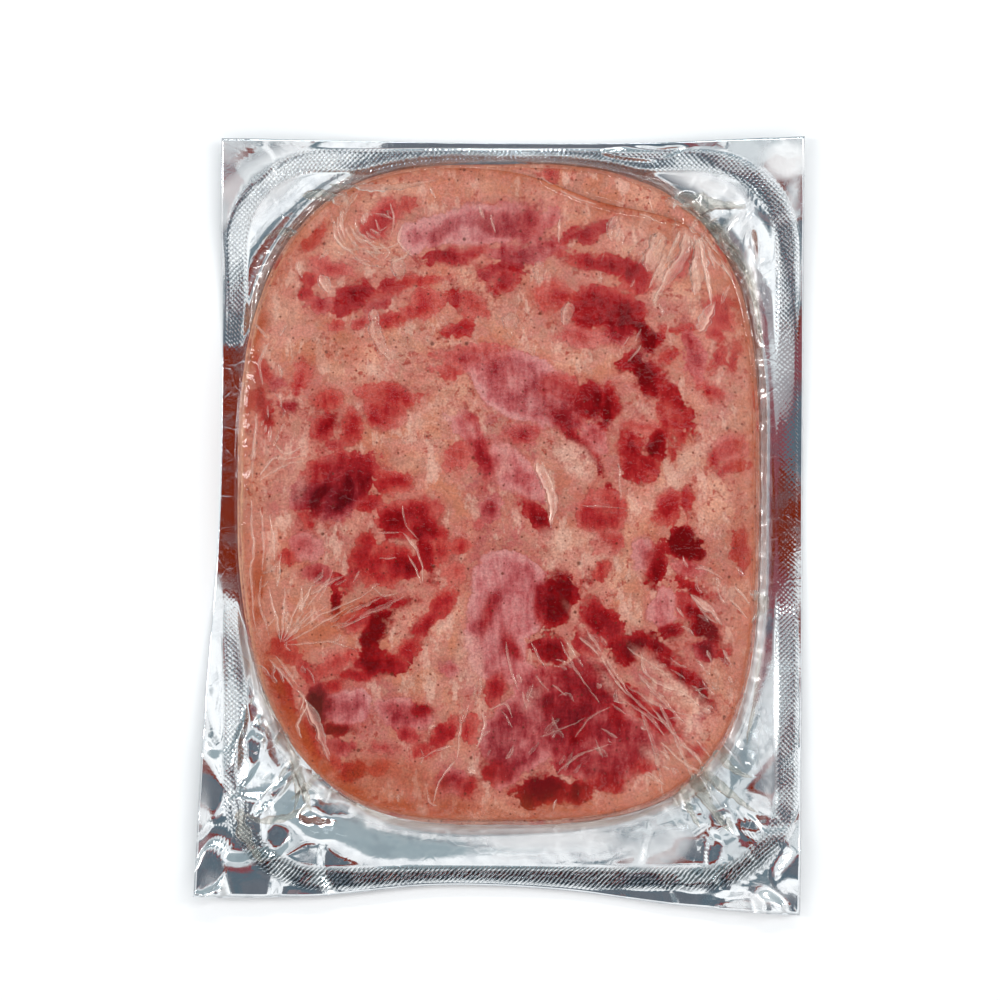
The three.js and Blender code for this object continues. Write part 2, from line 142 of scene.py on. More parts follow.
# Pieces of lean meat in the top slice: x, y, half length, half width, tilt in
# degrees, how dark and how violet.
LEAN_PIECES = (
    (380, 222, 22, 12, 40, .40, .1), (409, 206, 8, 5, 20, .45, 0), (313, 244, 12, 5, 45, .45, 0),
    (331, 271, 16, 9, -10, .25, .1), (314, 283, 7, 6, 0, .6, 0), (309, 298, 6, 9, 0, .5, 0),
    (319, 307, 10, 5, 0, .35, .3), (353, 299, 22, 9, 30, .75, 0), (387, 285, 8, 6, 0, .62, 0),
    (379, 304, 11, 5, 20, .5, .3), (404, 289, 26, 5, 12, .38, 0), (426, 305, 20, 9, 20, .33, 0),
    (456, 299, 8, 5, -75, .6, 0), (473, 305, 14, 8, -30, .32, 0), (461, 329, 15, 6, 20, .58, 0),
    (392, 321, 10, 5, 15, .42, 0), (361, 322, 7, 4, 0, .45, .2), (335, 324, 5, 4, 0, .3, 0),
    (448, 260, 19, 6, 10, .68, 0), (470, 253, 12, 4, 15, .5, .1), (485, 226, 58, 18, 4, .12, 1),
    (440, 232, 30, 14, 18, .08, 1), (414, 242, 14, 13, 0, 0, 1), (437, 238, 9, 4, 50, .35, .8),
    (512, 224, 30, 15, -5, .42, .5), (529, 222, 13, 12, 0, .42, .3), (488, 277, 9, 5, 10, .5, .3),
    (472, 358, 36, 12, 8, .28, .2), (450, 371, 14, 7, -20, .25, .1), (391, 395, 25, 10, 0, .32, 0),
    (386, 413, 17, 17, 0, .30, .1), (269, 374, 12, 5, -70, .55, 0), (280, 386, 6, 5, 0, .5, .6),
    (304, 381, 12, 6, 70, .36, 0), (331, 402, 11, 8, 0, .3, 0), (264, 396, 10, 4, -80, .8, 0),
    (255, 399, 6, 4, 80, .6, 0), (554, 220, 9, 6, 70, .4, .5), (586, 234, 21, 6, 25, .58, .1),
    (605, 194, 10, 5, 0, .42, 0), (614, 200, 8, 4, 0, .45, .4), (529, 253, 31, 9, 8, .45, .6),
    (500, 270, 16, 5, 0, .6, 0), (503, 284, 14, 10, 35, .5, .1), (588, 261, 22, 7, -5, .6, 0),
    (612, 265, 22, 9, -8, .55, 0), (634, 275, 14, 13, -30, .55, 0), (631, 287, 8, 6, 0, .4, 0),
    (681, 266, 10, 5, 60, .42, .1), (553, 299, 16, 15, 0, .22, 0), (606, 309, 38, 19, -15, .48, 0),
    (585, 319, 13, 8, 0, .6, 0), (621, 312, 24, 13, -30, .66, 0), (638, 327, 23, 8, -55, .85, 0),
    (615, 333, 15, 10, 0, .55, .4), (650, 343, 9, 8, 0, .95, 0), (581, 335, 18, 9, 0, .16, .2),
    (631, 362, 12, 9, 20, .8, .1), (650, 376, 20, 13, -42, .88, 0), (669, 361, 7, 7, 0, .5, 0),
    (672, 400, 31, 7, -62, .62, 0), (721, 316, 16, 10, -60, .32, 0), (727, 306, 9, 3, 0, .5, 0),
    (715, 334, 8, 8, 0, .28, 0), (678, 330, 13, 4, 10, .42, 0), (693, 358, 25, 6, -72, .32, .5),
    (715, 361, 9, 5, 75, .45, 0), (729, 358, 8, 4, 80, .45, 0), (710, 393, 8, 5, -30, .4, 0),
    (521, 386, 48, 30, -25, .10, 1), (492, 372, 34, 14, -25, .18, .7),
    (559, 390, 17, 12, -20, .32, .2), (545, 405, 34, 20, -30, .18, .9),
    (585, 402, 18, 17, 40, .72, .1), (605, 407, 17, 9, 85, .72, 0), (478, 449, 37, 10, -66, .5, .4),
    (460, 426, 13, 6, -40, .15, .7), (456, 456, 14, 8, 80, .2, .1), (331, 422, 7, 5, 60, .85, 0),
    (323, 430, 10, 15, 0, .5, .1), (352, 430, 14, 9, 80, .42, 0), (331, 446, 9, 4, 10, .5, .2),
    (270, 415, 10, 6, 80, .62, 0), (292, 411, 6, 5, 0, .6, .5), (334, 488, 36, 27, 30, .4, .9),
    (351, 470, 26, 14, 20, .62, .2),
    (318, 503, 15, 3, 58, .95, .3), (345, 491, 8, 2.5, 62, .95, .4), (365, 480, 12, 5, 85, .85, .2),
    (319, 473, 13, 9, 30, .5, 0), (346, 462, 13, 8, -10, .5, .1), (368, 502, 12, 10, 0, .5, 0),
    (309, 521, 6, 5, 0, .42, 0), (394, 478, 17, 8, -5, .45, 0), (384, 484, 8, 6, 0, .5, 0),
    (412, 518, 30, 20, -15, .36, .1), (397, 521, 12, 8, 75, .78, 0), (436, 528, 10, 8, 0, .6, 0),
    (425, 550, 22, 7, -76, .85, 0), (441, 548, 14, 9, 80, .42, 0), (388, 565, 24, 18, 20, .36, 0),
    (408, 567, 13, 9, 40, .7, 0), (368, 549, 17, 11, 80, .52, 0), (359, 568, 17, 6, 50, .52, .1),
    (338, 597, 11, 4, -80, .85, 0), (341, 577, 7, 5, 0, .6, 0), (306, 546, 15, 14, 0, .08, .6),
    (319, 574, 11, 9, 0, .42, .5), (289, 559, 6, 6, 0, .42, 0), (441, 604, 18, 8, 55, .42, 0),
    (428, 621, 19, 6, 42, .5, .1), (411, 645, 15, 7, 42, .5, 0), (380, 626, 15, 9, 65, 1, 0),
    (387, 604, 17, 5, 8, .78, 0), (362, 620, 14, 10, 0, .26, .1), (487, 614, 8, 3, 70, .5, .4),
    (281, 646, 10, 8, 50, .5, 0), (492, 507, 14, 10, 60, .35, .6), (478, 518, 7, 5, 0, .4, .3),
    (455, 571, 8, 8, 0, .22, 0), (458, 546, 9, 8, 0, .22, 0), (521, 435, 12, 10, 0, .32, .3),
    (562, 420, 16, 11, -30, .55, .4), (576, 442, 27, 3, -52, .7, .2), (602, 415, 14, 6, 80, .82, 0),
    (591, 441, 15, 11, -60, .2, .6), (528, 482, 18, 12, -60, .14, .8),
    (508, 470, 22, 16, -50, .10, .8), (534, 514, 18, 8, -62, .72, .1),
    (540, 531, 8, 5, -70, .55, 0), (600, 512, 24, 22, 0, .32, .1), (606, 545, 14, 13, 80, .28, .1),
    (630, 459, 22, 10, -82, .62, 0), (655, 443, 14, 10, 60, .85, 0), (641, 466, 14, 12, 0, .62, 0),
    (641, 425, 15, 8, -10, .2, .1), (639, 414, 4, 4, 0, .5, 0), (667, 428, 20, 4, -78, .55, 0),
    (677, 425, 18, 5, -85, .58, 0), (667, 507, 16, 11, 70, .5, 0), (686, 501, 10, 4, 85, .6, 0),
    (681, 545, 18, 13, -25, .97, 0), (653, 563, 18, 8, 75, .82, 0), (644, 553, 14, 10, 80, .12, .8),
    (684, 567, 15, 7, -15, .3, .5), (727, 447, 17, 14, 0, .12, .2), (714, 458, 11, 3, -65, .5, 0),
    (728, 468, 9, 3, 0, .45, 0), (738, 549, 20, 8, -85, .5, 0), (553, 600, 29, 19, 70, .82, 0),
    (598, 572, 6, 5, 0, .5, 0), (584, 580, 3, 2, 0, .7, 0), (609, 612, 7, 5, 0, .6, 0),
    (663, 607, 17, 11, -75, .14, .8), (674, 631, 9, 7, 0, .85, 0), (690, 607, 18, 10, -45, .4, .2),
    (702, 624, 22, 9, -58, .95, 0), (688, 587, 17, 4, -15, .75, 0), (632, 643, 25, 11, 10, .82, 0),
    (655, 645, 20, 6, -30, .72, 0), (702, 651, 9, 8, 0, .6, .5), (718, 652, 8, 4, -80, .62, 0),
    (509, 598, 46, 38, -80, .10, 1), (497, 640, 40, 30, -70, .12, .9),
    (556, 652, 14, 10, -70, .72, 0), (514, 645, 7, 3, -60, .5, .3), (373, 660, 18, 9, 0, .92, 0),
    (396, 659, 13, 5, 5, .8, 0), (357, 672, 11, 4, 0, .72, 0), (335, 662, 20, 6, 25, .36, .1),
    (411, 648, 9, 7, 45, .56, 0), (336, 681, 5, 5, 0, .5, 0), (281, 688, 19, 6, -62, .72, 0),
    (289, 658, 8, 6, 0, .5, 0), (308, 672, 11, 6, -45, .5, .2), (323, 700, 20, 12, -75, .92, .9),
    (348, 702, 20, 17, 0, .22, 1), (335, 724, 17, 6, 0, 1, .2), (341, 742, 12, 8, 0, .5, .5),
    (314, 735, 19, 6, -62, .62, 0), (355, 766, 12, 8, 0, .72, 0), (335, 758, 10, 5, -40, .42, 0),
    (405, 712, 26, 14, -10, .22, .7), (600, 620, 24, 14, -45, .62, .1),
    (588, 640, 16, 12, -50, .5, .1), (370, 642, 11, 9, 60, 1, 0), (424, 706, 7, 4, 0, .72, 0),
    (409, 733, 8, 5, -20, .52, .2),
    (439, 736, 19, 8, 42, .5, 0), (424, 748, 8, 5, 40, .5, 0), (470, 727, 10, 8, 80, .36, 0),
    (379, 767, 8, 5, 0, .42, 0), (384, 746, 7, 3, 0, .4, .2), (451, 781, 14, 13, 0, .42, .6),
    (465, 785, 10, 8, 60, .5, 0), (495, 687, 16, 8, 75, .52, .1), (453, 667, 6, 5, 0, .3, .6),
    (493, 768, 14, 11, -30, .7, 0), (570, 712, 56, 44, -10, .38, .6),
    (605, 745, 50, 32, 10, .44, .5), (520, 735, 34, 40, -60, .36, .8),
    (552, 651, 14, 12, 0, .7, .2), (591, 682, 27, 20, -40, .6, .4),
    (570, 705, 25, 20, 20, .68, .4), (541, 788, 24, 14, 5, .97, 0), (579, 792, 18, 10, 10, .78, 0),
    (607, 779, 17, 9, 22, .6, 0), (579, 733, 8, 7, 0, .72, 0), (615, 717, 12, 5, -75, .6, 0),
    (643, 760, 10, 6, 15, .42, 0), (626, 651, 14, 10, 80, .86, 0), (683, 677, 23, 7, -36, .82, 0),
    (700, 697, 12, 6, -55, .72, 0), (645, 706, 31, 7, -36, .66, 0), (660, 715, 14, 12, -60, .5, .1),
    (698, 719, 5, 5, 0, .4, .5), (686, 731, 6, 4, 30, .6, 0), (695, 747, 5, 4, 0, .5, 0),
    (529, 692, 26, 13, -75, .18, .8), (504, 770, 12, 12, 0, .4, .7), (545, 680, 14, 10, 0, .3, .5),
)
# Pale fat: x, y, half length, half width, tilt and strength.
FAT_STREAKS = (
    (574, 462, 24, 13, -48, .8), (684, 694, 28, 6, -40, .9), (655, 752, 15, 7, -30, .6),
    (628, 612, 12, 6, -35, .4), (536, 700, 12, 5, 60, .4), (640, 413, 16, 10, 0, .35),
    (500, 470, 5, 20, -20, .3), (585, 545, 26, 12, -30, .4), (560, 560, 20, 8, -20, .3),
    (688, 460, 36, 7, 48, .6), (692, 721, 14, 8, 70, .9), (668, 680, 36, 5, -42, .7),
    (590, 640, 30, 4, -55, .5), (615, 690, 30, 4, -50, .5), (470, 660, 14, 30, 10, .4),
    (300, 480, 10, 24, -10, .3), (430, 415, 30, 12, 10, .4), (560, 540, 30, 14, -10, .5),
)
# Where the paler meat blushes towards mauve: x, y, half length, half width,
# tilt and strength.
BLUSHES = (
    (505, 465, 42, 62, 0, .9), (565, 480, 60, 46, 20, .6), (505, 560, 40, 56, 0, .9),
    (565, 610, 44, 60, 0, .5), (590, 715, 92, 70, 0, .8), (500, 700, 42, 92, 0, .8),
    (625, 425, 50, 46, 0, .6), (570, 305, 60, 40, 0, .4), (330, 500, 62, 52, 0, .7),
    (402, 550, 70, 60, 0, .6), (340, 700, 60, 50, 0, .8), (420, 742, 62, 50, 0, .5),
    (480, 230, 84, 30, 0, .4), (690, 600, 46, 80, 0, .5), (360, 290, 80, 30, 0, .4),
    (662, 350, 50, 60, 30, .5), (300, 430, 52, 60, 0, .5), (650, 662, 62, 42, 0, .6),
    (452, 780, 50, 30, 0, .5), (390, 395, 40, 34, 0, .3), (700, 380, 40, 60, 0, .4),
)
# Where the rim has browned: x, y, half length, half width, tilt and strength.
BROWNED = (
    (256, 338, 34, 9, 82, 1), (262, 300, 22, 6, 70, .6), (300, 738, 48, 14, -55, .9),
    (338, 782, 46, 15, -32, .9), (420, 806, 66, 10, -5, .8), (560, 812, 80, 8, 0, .6),
    (250, 560, 70, 7, 88, .5), (735, 700, 50, 8, 65, .5), (330, 225, 40, 9, 40, .4),
    (385, 185, 50, 7, 10, .4), (655, 235, 50, 7, -35, .5), (275, 690, 40, 10, -65, .7),
    (340, 350, 30, 16, 20, .35), (330, 625, 40, 10, 35, .5), (680, 800, 50, 8, 25, .4),
    (385, 770, 50, 14, -10, .5), (560, 190, 60, 8, -8, .5), (400, 790, 44, 14, -5, .6),
    (258, 600, 50, 8, 86, .9), (500, 812, 60, 6, 0, .7), (738, 480, 90, 5, 88, .4),
)
# Creases in the film over the ham: width in plan steps, strength, way points.
CREASES = (
    (2.2, 1.0, (480, 208), (484, 222)), (2.2, 1.0, (491, 217), (495, 235)),
    (2.4, .8, (299, 264), (304, 280)), (6.0, .8, (323, 276), (331, 295)),
    (7.0, .6, (375, 311), (379, 339), (390, 361)), (2.0, .7, (431, 189), (436, 201)),
    (8.0, .45, (398, 258), (403, 282)), (1.6, .9, (336, 236), (345, 249), (356, 257)),
    (1.6, .9, (345, 222), (342, 234)), (1.5, .8, (338, 243), (350, 252), (366, 250)),
    (1.6, .9, (352, 228), (360, 240), (372, 246)), (1.5, .9, (377, 222), (381, 232), (388, 229)),
    (1.6, .9, (392, 206), (395, 222), (392, 238)), (1.5, .8, (380, 246), (390, 254), (384, 262)),
    (2.0, .9, (404, 227), (400, 244), (414, 259)), (1.8, .7, (366, 252), (380, 262)),
    (1.8, .9, (258, 326), (271, 340)), (1.8, .8, (271, 345), (262, 363), (265, 386)),
    (2.0, .7, (330, 252), (320, 262)), (2.4, 1.1, (560, 221), (559, 245)),
    (8.0, .6, (616, 218), (610, 243)), (11.0, .8, (660, 236), (653, 255), (646, 274)),
    (7.0, .9, (684, 236), (683, 256), (664, 284), (653, 305)),
    (2.6, 1.0, (678, 234), (672, 250), (658, 274)),
    (10.0, .8, (698, 243), (697, 270), (694, 297)), (8.0, .9, (697, 332), (704, 318), (713, 303)),
    (3.6, 1.1, (698, 243), (704, 270), (708, 292), (710, 308)),
    (1.8, 1.0, (709, 239), (722, 250), (735, 264)), (1.8, .9, (719, 262), (727, 274), (733, 289)),
    (1.6, .8, (704, 238), (716, 256)), (2.0, 1.0, (647, 199), (652, 214)),
    (7.0, .6, (569, 305), (564, 327)), (8.0, .4, (540, 264), (538, 285)),
    (8.0, .35, (512, 315), (510, 340)), (1.6, .9, (622, 346), (629, 338)),
    (1.4, .8, (633, 356), (640, 346)), (1.5, .7, (627, 362), (636, 352)),
    (1.6, .6, (640, 330), (634, 344)), (2.0, 1.0, (259, 414), (257, 445), (254, 480)),
    (1.8, .9, (262, 476), (274, 459), (289, 459), (309, 455)),
    (1.6, .8, (262, 480), (286, 465), (309, 462)), (2.0, .9, (278, 446), (288, 454), (304, 446)),
    (1.6, .8, (287, 424), (282, 432)), (1.8, 1.0, (253, 500), (256, 549), (253, 574), (258, 634)),
    (1.8, .9, (263, 508), (266, 540), (265, 572)),
    (2.0, 1.0, (404, 533), (415, 545), (423, 566), (423, 582)),
    (1.6, 1.0, (409, 554), (418, 571), (422, 583)), (1.4, .6, (380, 532), (401, 533)),
    (1.4, .7, (380, 558), (398, 556)), (1.4, .7, (404, 505), (407, 524), (420, 540)),
    (1.4, .7, (361, 570), (354, 582)), (1.6, 1.0, (283, 640), (285, 612), (287, 585)),
    (1.6, .9, (284, 640), (296, 612), (313, 587)), (2.6, 1.1, (303, 609), (308, 596), (313, 585)),
    (1.5, .9, (286, 640), (320, 615), (352, 601), (376, 586)),
    (1.6, .9, (287, 642), (330, 618), (356, 603)), (1.6, .8, (286, 641), (305, 620), (330, 604)),
    (1.5, .8, (285, 640), (300, 622), (318, 606)), (1.5, .7, (375, 587), (386, 595), (398, 592)),
    (1.8, .7, (282, 638), (276, 610), (270, 585)), (1.4, .7, (264, 575), (262, 600), (272, 636)),
    (1.5, .6, (290, 644), (330, 640), (360, 650)),
    (7.5, 1.1, (537, 464), (546, 482), (553, 503), (550, 528)),
    (1.5, .8, (541, 462), (552, 486), (556, 508)), (1.4, .5, (618, 463), (620, 503)),
    (1.2, .5, (581, 505), (625, 508)), (5.0, 1.0, (689, 594), (706, 606), (720, 624)),
    (2.0, .9, (674, 606), (683, 616)), (2.2, .8, (693, 567), (706, 568), (721, 578)),
    (1.8, .9, (694, 600), (704, 614), (716, 622)), (1.6, 1.0, (733, 586), (741, 594), (748, 604)),
    (1.6, .9, (728, 598), (737, 606), (745, 618)), (2.2, .9, (579, 635), (588, 644), (598, 655)),
    (1.8, .8, (586, 628), (594, 640), (602, 652)), (2.0, .8, (706, 648), (710, 662)),
    (1.8, .8, (721, 648), (728, 660)), (2.0, 1.2, (298, 687), (306, 696), (301, 710)),
    (1.8, 1.1, (304, 736), (299, 723), (308, 704), (302, 692)),
    (6.0, .9, (308, 699), (319, 721), (325, 741), (332, 759)),
    (1.8, 1.0, (272, 658), (284, 670), (297, 687)), (1.6, .9, (278, 655), (289, 668), (301, 685)),
    (1.8, 1.0, (455, 758), (440, 780), (434, 803)), (1.6, .9, (428, 786), (431, 800), (437, 804)),
    (2.4, 1.1, (482, 712), (486, 724), (476, 746)), (1.5, .8, (419, 757), (443, 745), (457, 743)),
    (1.6, .9, (461, 714), (460, 741), (457, 759)), (4.0, .9, (469, 764), (476, 771)),
    (1.8, .8, (490, 708), (506, 702), (512, 716)), (1.6, .9, (399, 792), (400, 800)),
    (2.0, .8, (522, 690), (527, 708)), (1.8, .7, (552, 682), (566, 694)),
    (1.6, .7, (536, 674), (548, 690)),
    (2.6, .9, (640, 652), (644, 669), (660, 683), (681, 690), (699, 706)),
    (1.8, .7, (624, 699), (650, 717), (664, 735)),
    (2.2, 1.2, (660, 740), (678, 757), (690, 766), (701, 767)),
    (2.0, 1.0, (678, 742), (694, 751), (700, 765)), (1.6, 1.0, (695, 738), (703, 747), (709, 756)),
    (1.8, .7, (647, 769), (664, 783)), (1.6, .9, (556, 796), (553, 808)),
    (1.5, .7, (612, 699), (624, 701)), (3.0, .9, (639, 724), (645, 728)),
    (1.6, .8, (560, 640), (575, 668), (590, 690)), (1.5, .7, (600, 655), (615, 680), (630, 696)),
    (1.4, .6, (530, 640), (545, 668)), (1.5, .6, (505, 640), (512, 672), (520, 690)),
    (1.4, .6, (575, 735), (590, 715), (610, 705)), (1.4, .6, (540, 735), (565, 725), (585, 716)),
    (1.4, .6, (556, 770), (580, 752), (612, 742)),
    (1.8, .9, (541, 180), (574, 200), (616, 210), (647, 219), (665, 228)),
)

# Where the film is puckered: a box on the plan, the creases' heading in degrees
# and how many there are.
PUCKERED = (
    (335, 215, 405, 262, 150, 16), (600, 225, 735, 320, 65, 20), (250, 640, 325, 750, 120, 14),
    (600, 660, 715, 780, 145, 26), (680, 560, 745, 690, 130, 14), (250, 330, 290, 480, 75, 10),
    (262, 560, 380, 640, 35, 16), (420, 690, 590, 790, 55, 16), (500, 640, 620, 740, 120, 16),
)
# Flat plates in the crumpled foil: x, y, half length, half width and tilt.
PLATES = (
    (252, 752, 28, 8, 78), (262, 733, 14, 6, 0), (271, 758, 14, 4, -80), (273, 796, 23, 6, 45),
    (324, 788, 16, 9, 5), (327, 811, 25, 9, 20), (280, 835, 16, 10, 70), (207, 872, 28, 13, 55),
    (236, 776, 50, 3, 88), (691, 818, 11, 6, 12), (716, 855, 17, 9, 80), (746, 826, 14, 8, -20),
    (774, 822, 15, 9, 20), (700, 882, 22, 5, 0), (735, 868, 23, 6, 28), (766, 846, 21, 7, 42),
    (255, 165, 22, 18, 0), (640, 150, 40, 6, 0), (750, 262, 5, 26, 0), (790, 905, 14, 9, 60),
)
# Where film and foil together look frosted: x, y, half length, half width, tilt
# and strength.
FROSTED = (
    (252, 190, 70, 30, 40, .6), (226, 250, 60, 10, 88, .5), (785, 160, 30, 24, 0, .6),
    (700, 182, 60, 14, -20, .6), (752, 265, 72, 10, -84, .6), (775, 735, 110, 24, 88, .35),
    (570, 842, 110, 18, 0, .5), (655, 850, 50, 24, 20, .45), (262, 690, 50, 14, -60, .5),
    (225, 650, 60, 14, 88, .3), (232, 152, 22, 20, 0, .5), (793, 205, 40, 12, 88, .5),
    (800, 270, 50, 6, 90, .35), (204, 800, 70, 9, 88, .45), (215, 880, 20, 14, 0, .3),
    (790, 820, 50, 9, 88, .35), (765, 898, 40, 14, 10, .45),
)
# Where creases run out from a knot, or round it: the knot, headings from and to in
# degrees, nearest and farthest reach in plan steps, how many, and whether round.
KNOTS = (
    (690, 222, -165, -55, 6, 52, 20, False), (283, 641, 8, 95, 14, 95, 10, False),
    (383, 222, 130, 290, 12, 48, 18, True), (560, 590, -60, -38, 80, 150, 8, False),
)
# Larger folds of spare film off the ham: width, height, way points.
WEB_FOLDS = (
    (11, 1.0, (664, 203), (690, 202), (716, 204), (744, 208)),
    (4, .8, (676, 206), (704, 222), (722, 236), (743, 257)),
    (5, .7, (706, 226), (735, 260), (752, 298), (758, 340)),
    (4, .6, (716, 224), (744, 262), (758, 308), (761, 366)),
    (3, .5, (728, 244), (751, 284), (762, 340)),
    (6, .8, (700, 214), (712, 228), (722, 246)),
    (6, .8, (287, 728), (292, 752), (301, 776), (311, 812)),
    (4, .6, (311, 806), (286, 817), (262, 821), (244, 812)),
    (7, .8, (240, 808), (245, 834), (264, 862)), (3, .5, (262, 690), (272, 712), (286, 728)),
    (4, .6, (322, 772), (308, 786), (292, 798)), (3, .5, (290, 760), (298, 790), (294, 812)),
    (6, 1.0, (690, 770), (706, 800), (728, 830)),
    (5, .9, (698, 764), (726, 790), (756, 812)),
    (5, .7, (712, 748), (730, 766), (752, 778)),
    (5, .6, (682, 784), (688, 806), (700, 828)),
    (9, .7, (350, 206), (326, 196), (302, 196)),
    (5, .6, (330, 184), (366, 189), (402, 189), (440, 182)),
    (4, .5, (300, 236), (282, 232), (262, 240)),
    (9, .5, (672, 804), (698, 780), (716, 748)), (6, .6, (748, 590), (764, 604), (750, 622)),
    (3, .4, (760, 640), (757, 690), (746, 744)),
    (3, .4, (330, 790), (400, 822), (500, 828)),
    (3, .4, (540, 828), (620, 820), (676, 800)),
)


def on_plan(x, y):
    """A place on the plan, in the pack's own millimetres."""
    return (x - PLAN_ORIGIN[0]) * PLAN_STEP, (PLAN_ORIGIN[1] - y) * PLAN_STEP


# ---------------------------------------------------------------- shapes


def smooth(x):
    t = np.clip(x, 0, 1)
    return t * t * (3 - 2 * t)


def bell(x):
    return np.exp(-0.5 * x * x)


def mix(a, b, share):
    return a + (b - a) * share


def turn(a, b):
    return np.arctan2(np.sin(a - b), np.cos(a - b))


NOISE_CELLS = 64


def noise(x, y, size, seed):
    """Smooth noise from -1 to 1 whose lumps are about `size` across."""
    values = np.random.default_rng(seed).uniform(-1, 1, (NOISE_CELLS, NOISE_CELLS))
    u, v = np.asarray(x) / size, np.asarray(y) / size
    i, j = np.floor(u).astype(int), np.floor(v).astype(int)
    s, t = smooth(u - i), smooth(v - j)

    def corner(a, b):
        return values[(i + a) % NOISE_CELLS, (j + b) % NOISE_CELLS]

    return mix(mix(corner(0, 0), corner(1, 0), s), mix(corner(0, 1), corner(1, 1), s), t)


def fractal(x, y, size, seed, octaves=3):
    """Noise with finer noise on it, each layer half as strong and half as wide."""
    layers = [noise(x, y, size / 2**i, seed + i) / 2**i for i in range(octaves)]
    return sum(layers) / (2 - 2.0 ** (1 - octaves))


def ridges(x, y, size, seed):
    """Sharp crests between smooth hollows, from 0 to 1."""
    return (1 - np.abs(fractal(x, y, size, seed, 2))) ** 3


def facets(x, y, size, seed, sharpness=9.0):
    """Flat panels `size` across, each tilted its own way, meeting in creases."""
    jitter_x, jitter_y, tilt_x, tilt_y = np.random.default_rng(seed).uniform(
        -1, 1, (4, NOISE_CELLS, NOISE_CELLS))
    u, v = np.asarray(x) / size, np.asarray(y) / size
    i, j = np.floor(u).astype(int), np.floor(v).astype(int)
    height, weight = 0, 0
    for a in (-1, 0, 1):
        for b in (-1, 0, 1):
            cell = (i + a) % NOISE_CELLS, (j + b) % NOISE_CELLS
            du = u - (i + a + 0.5 + 0.45 * jitter_x[cell])
            dv = v - (j + b + 0.5 + 0.45 * jitter_y[cell])
            pull = np.exp(-sharpness * (du * du + dv * dv))
            height = height + pull * (tilt_x[cell] * du + tilt_y[cell] * dv) * size
            weight = weight + pull
    return height / weight


def rounded_rectangle(x, y, centre, half_width, half_length, radius):
    """Signed distance from a rounded rectangle, negative inside."""
    dx = np.abs(x - centre[0]) - half_width + radius
    dy = np.abs(y - centre[1]) - half_length + radius
    outside = np.hypot(np.maximum(dx, 0), np.maximum(dy, 0))
    return outside + np.minimum(np.maximum(dx, dy), 0) - radius


def beyond_flat(x, y):
    return rounded_rectangle(
        x, y, HAM_CENTRE, FLAT_HALF_WIDTH, FLAT_HALF_LENGTH, FLAT_CORNER_RADIUS
    )


def lift(x, y):
    """Height of the foil's underside above the table, before it is crumpled."""
    curl = sum(
        height * bell(np.hypot(x - at[0], y - at[1]) / spread) for at, height, spread in CURLS
    )
    return smooth(beyond_flat(x, y) / CURL_RUN) * curl


def ham_radius(angle):
    """Distance from the ham's middle to its outline."""
    c, s = np.cos(angle), np.sin(angle)
    right, up = (1 + c) / 2, (1 + s) / 2
    power = (
        right * up * SQUARENESS["top right"]
        + (1 - right) * up * SQUARENESS["top left"]
        + (1 - right) * (1 - up) * SQUARENESS["bottom left"]
        + right * (1 - up) * SQUARENESS["bottom right"]
    )
    across, along = np.abs(c / HAM_HALF_WIDTH) ** power, np.abs(s / HAM_HALF_LENGTH) ** power
    return (across + along) ** (-1 / power)


def shortfall(angle):
    """How far the top slice stops short of the one below it."""
    return SHORT_DEPTH * bell(turn(angle, SHORT_ANGLE) / SHORT_SPREAD)


def pressed(share, slices):
    """How far the vacuum presses the stack's rim down, on top of some slices."""
    return RIM_DROP * share**RIM_SHARPNESS * slices / SLICE_COUNT


def spline(values, share):
    """A smooth line through evenly spaced values."""
    values = np.asarray(values, float)
    last = len(values) - 1
    place = np.asarray(share) * last
    i = np.minimum(np.floor(place).astype(int), last - 1)
    t = place - i
    a, b = values[np.maximum(i - 1, 0)], values[i]
    c, d = values[i + 1], values[np.minimum(i + 2, last)]
    if values.ndim > 1:
        t = t[:, None]
    out, into = (c - a) / 2, (d - b) / 2
    return b + t * (out + t * (3 * (c - b) - 2 * out - into + t * (2 * (b - c) + out + into)))


def pack_outline(long_steps, short_steps):
    """The pack's outline, from its top right corner round anticlockwise."""
    around = (
        ("top right", "top left", "top", short_steps),
        ("top left", "bottom left", "left", long_steps),
        ("bottom left", "bottom right", "bottom", short_steps),
        ("bottom right", "top right", "right", long_steps),
    )
    sides = []
    for start, end, edge, steps in around:
        start, run = np.array(CORNERS[start]), np.subtract(CORNERS[end], CORNERS[start])
        inwards = np.array((-run[1], run[0])) / np.hypot(*run)
        even = np.arange(steps) / steps
        share = mix(even, (1 - np.cos(np.pi * even)) / 2, CORNER_CROWDING)
        depth = spline(EDGE_BOWS[edge], share)
        sides.append(start + share[:, None] * run + depth[:, None] * inwards)
    return np.concatenate(sides)


def band_distance(direction, inset):
    """Distance along each ray from the ham's middle to the band's outline, drawn in."""
    near, far = np.zeros(len(direction)), np.full(len(direction), 300.0)
    for _ in range(40):
        middle = (near + far) / 2
        x, y = (HAM_CENTRE[i] + direction[:, i] * middle for i in (0, 1))
        outside = rounded_rectangle(
            x, y, BAND_CENTRE, BAND_HALF_WIDTH - inset, BAND_HALF_LENGTH - inset,
            BAND_CORNER_RADIUS - inset,
        ) > 0
        near, far = np.where(outside, near, middle), np.where(outside, middle, far)
    return near


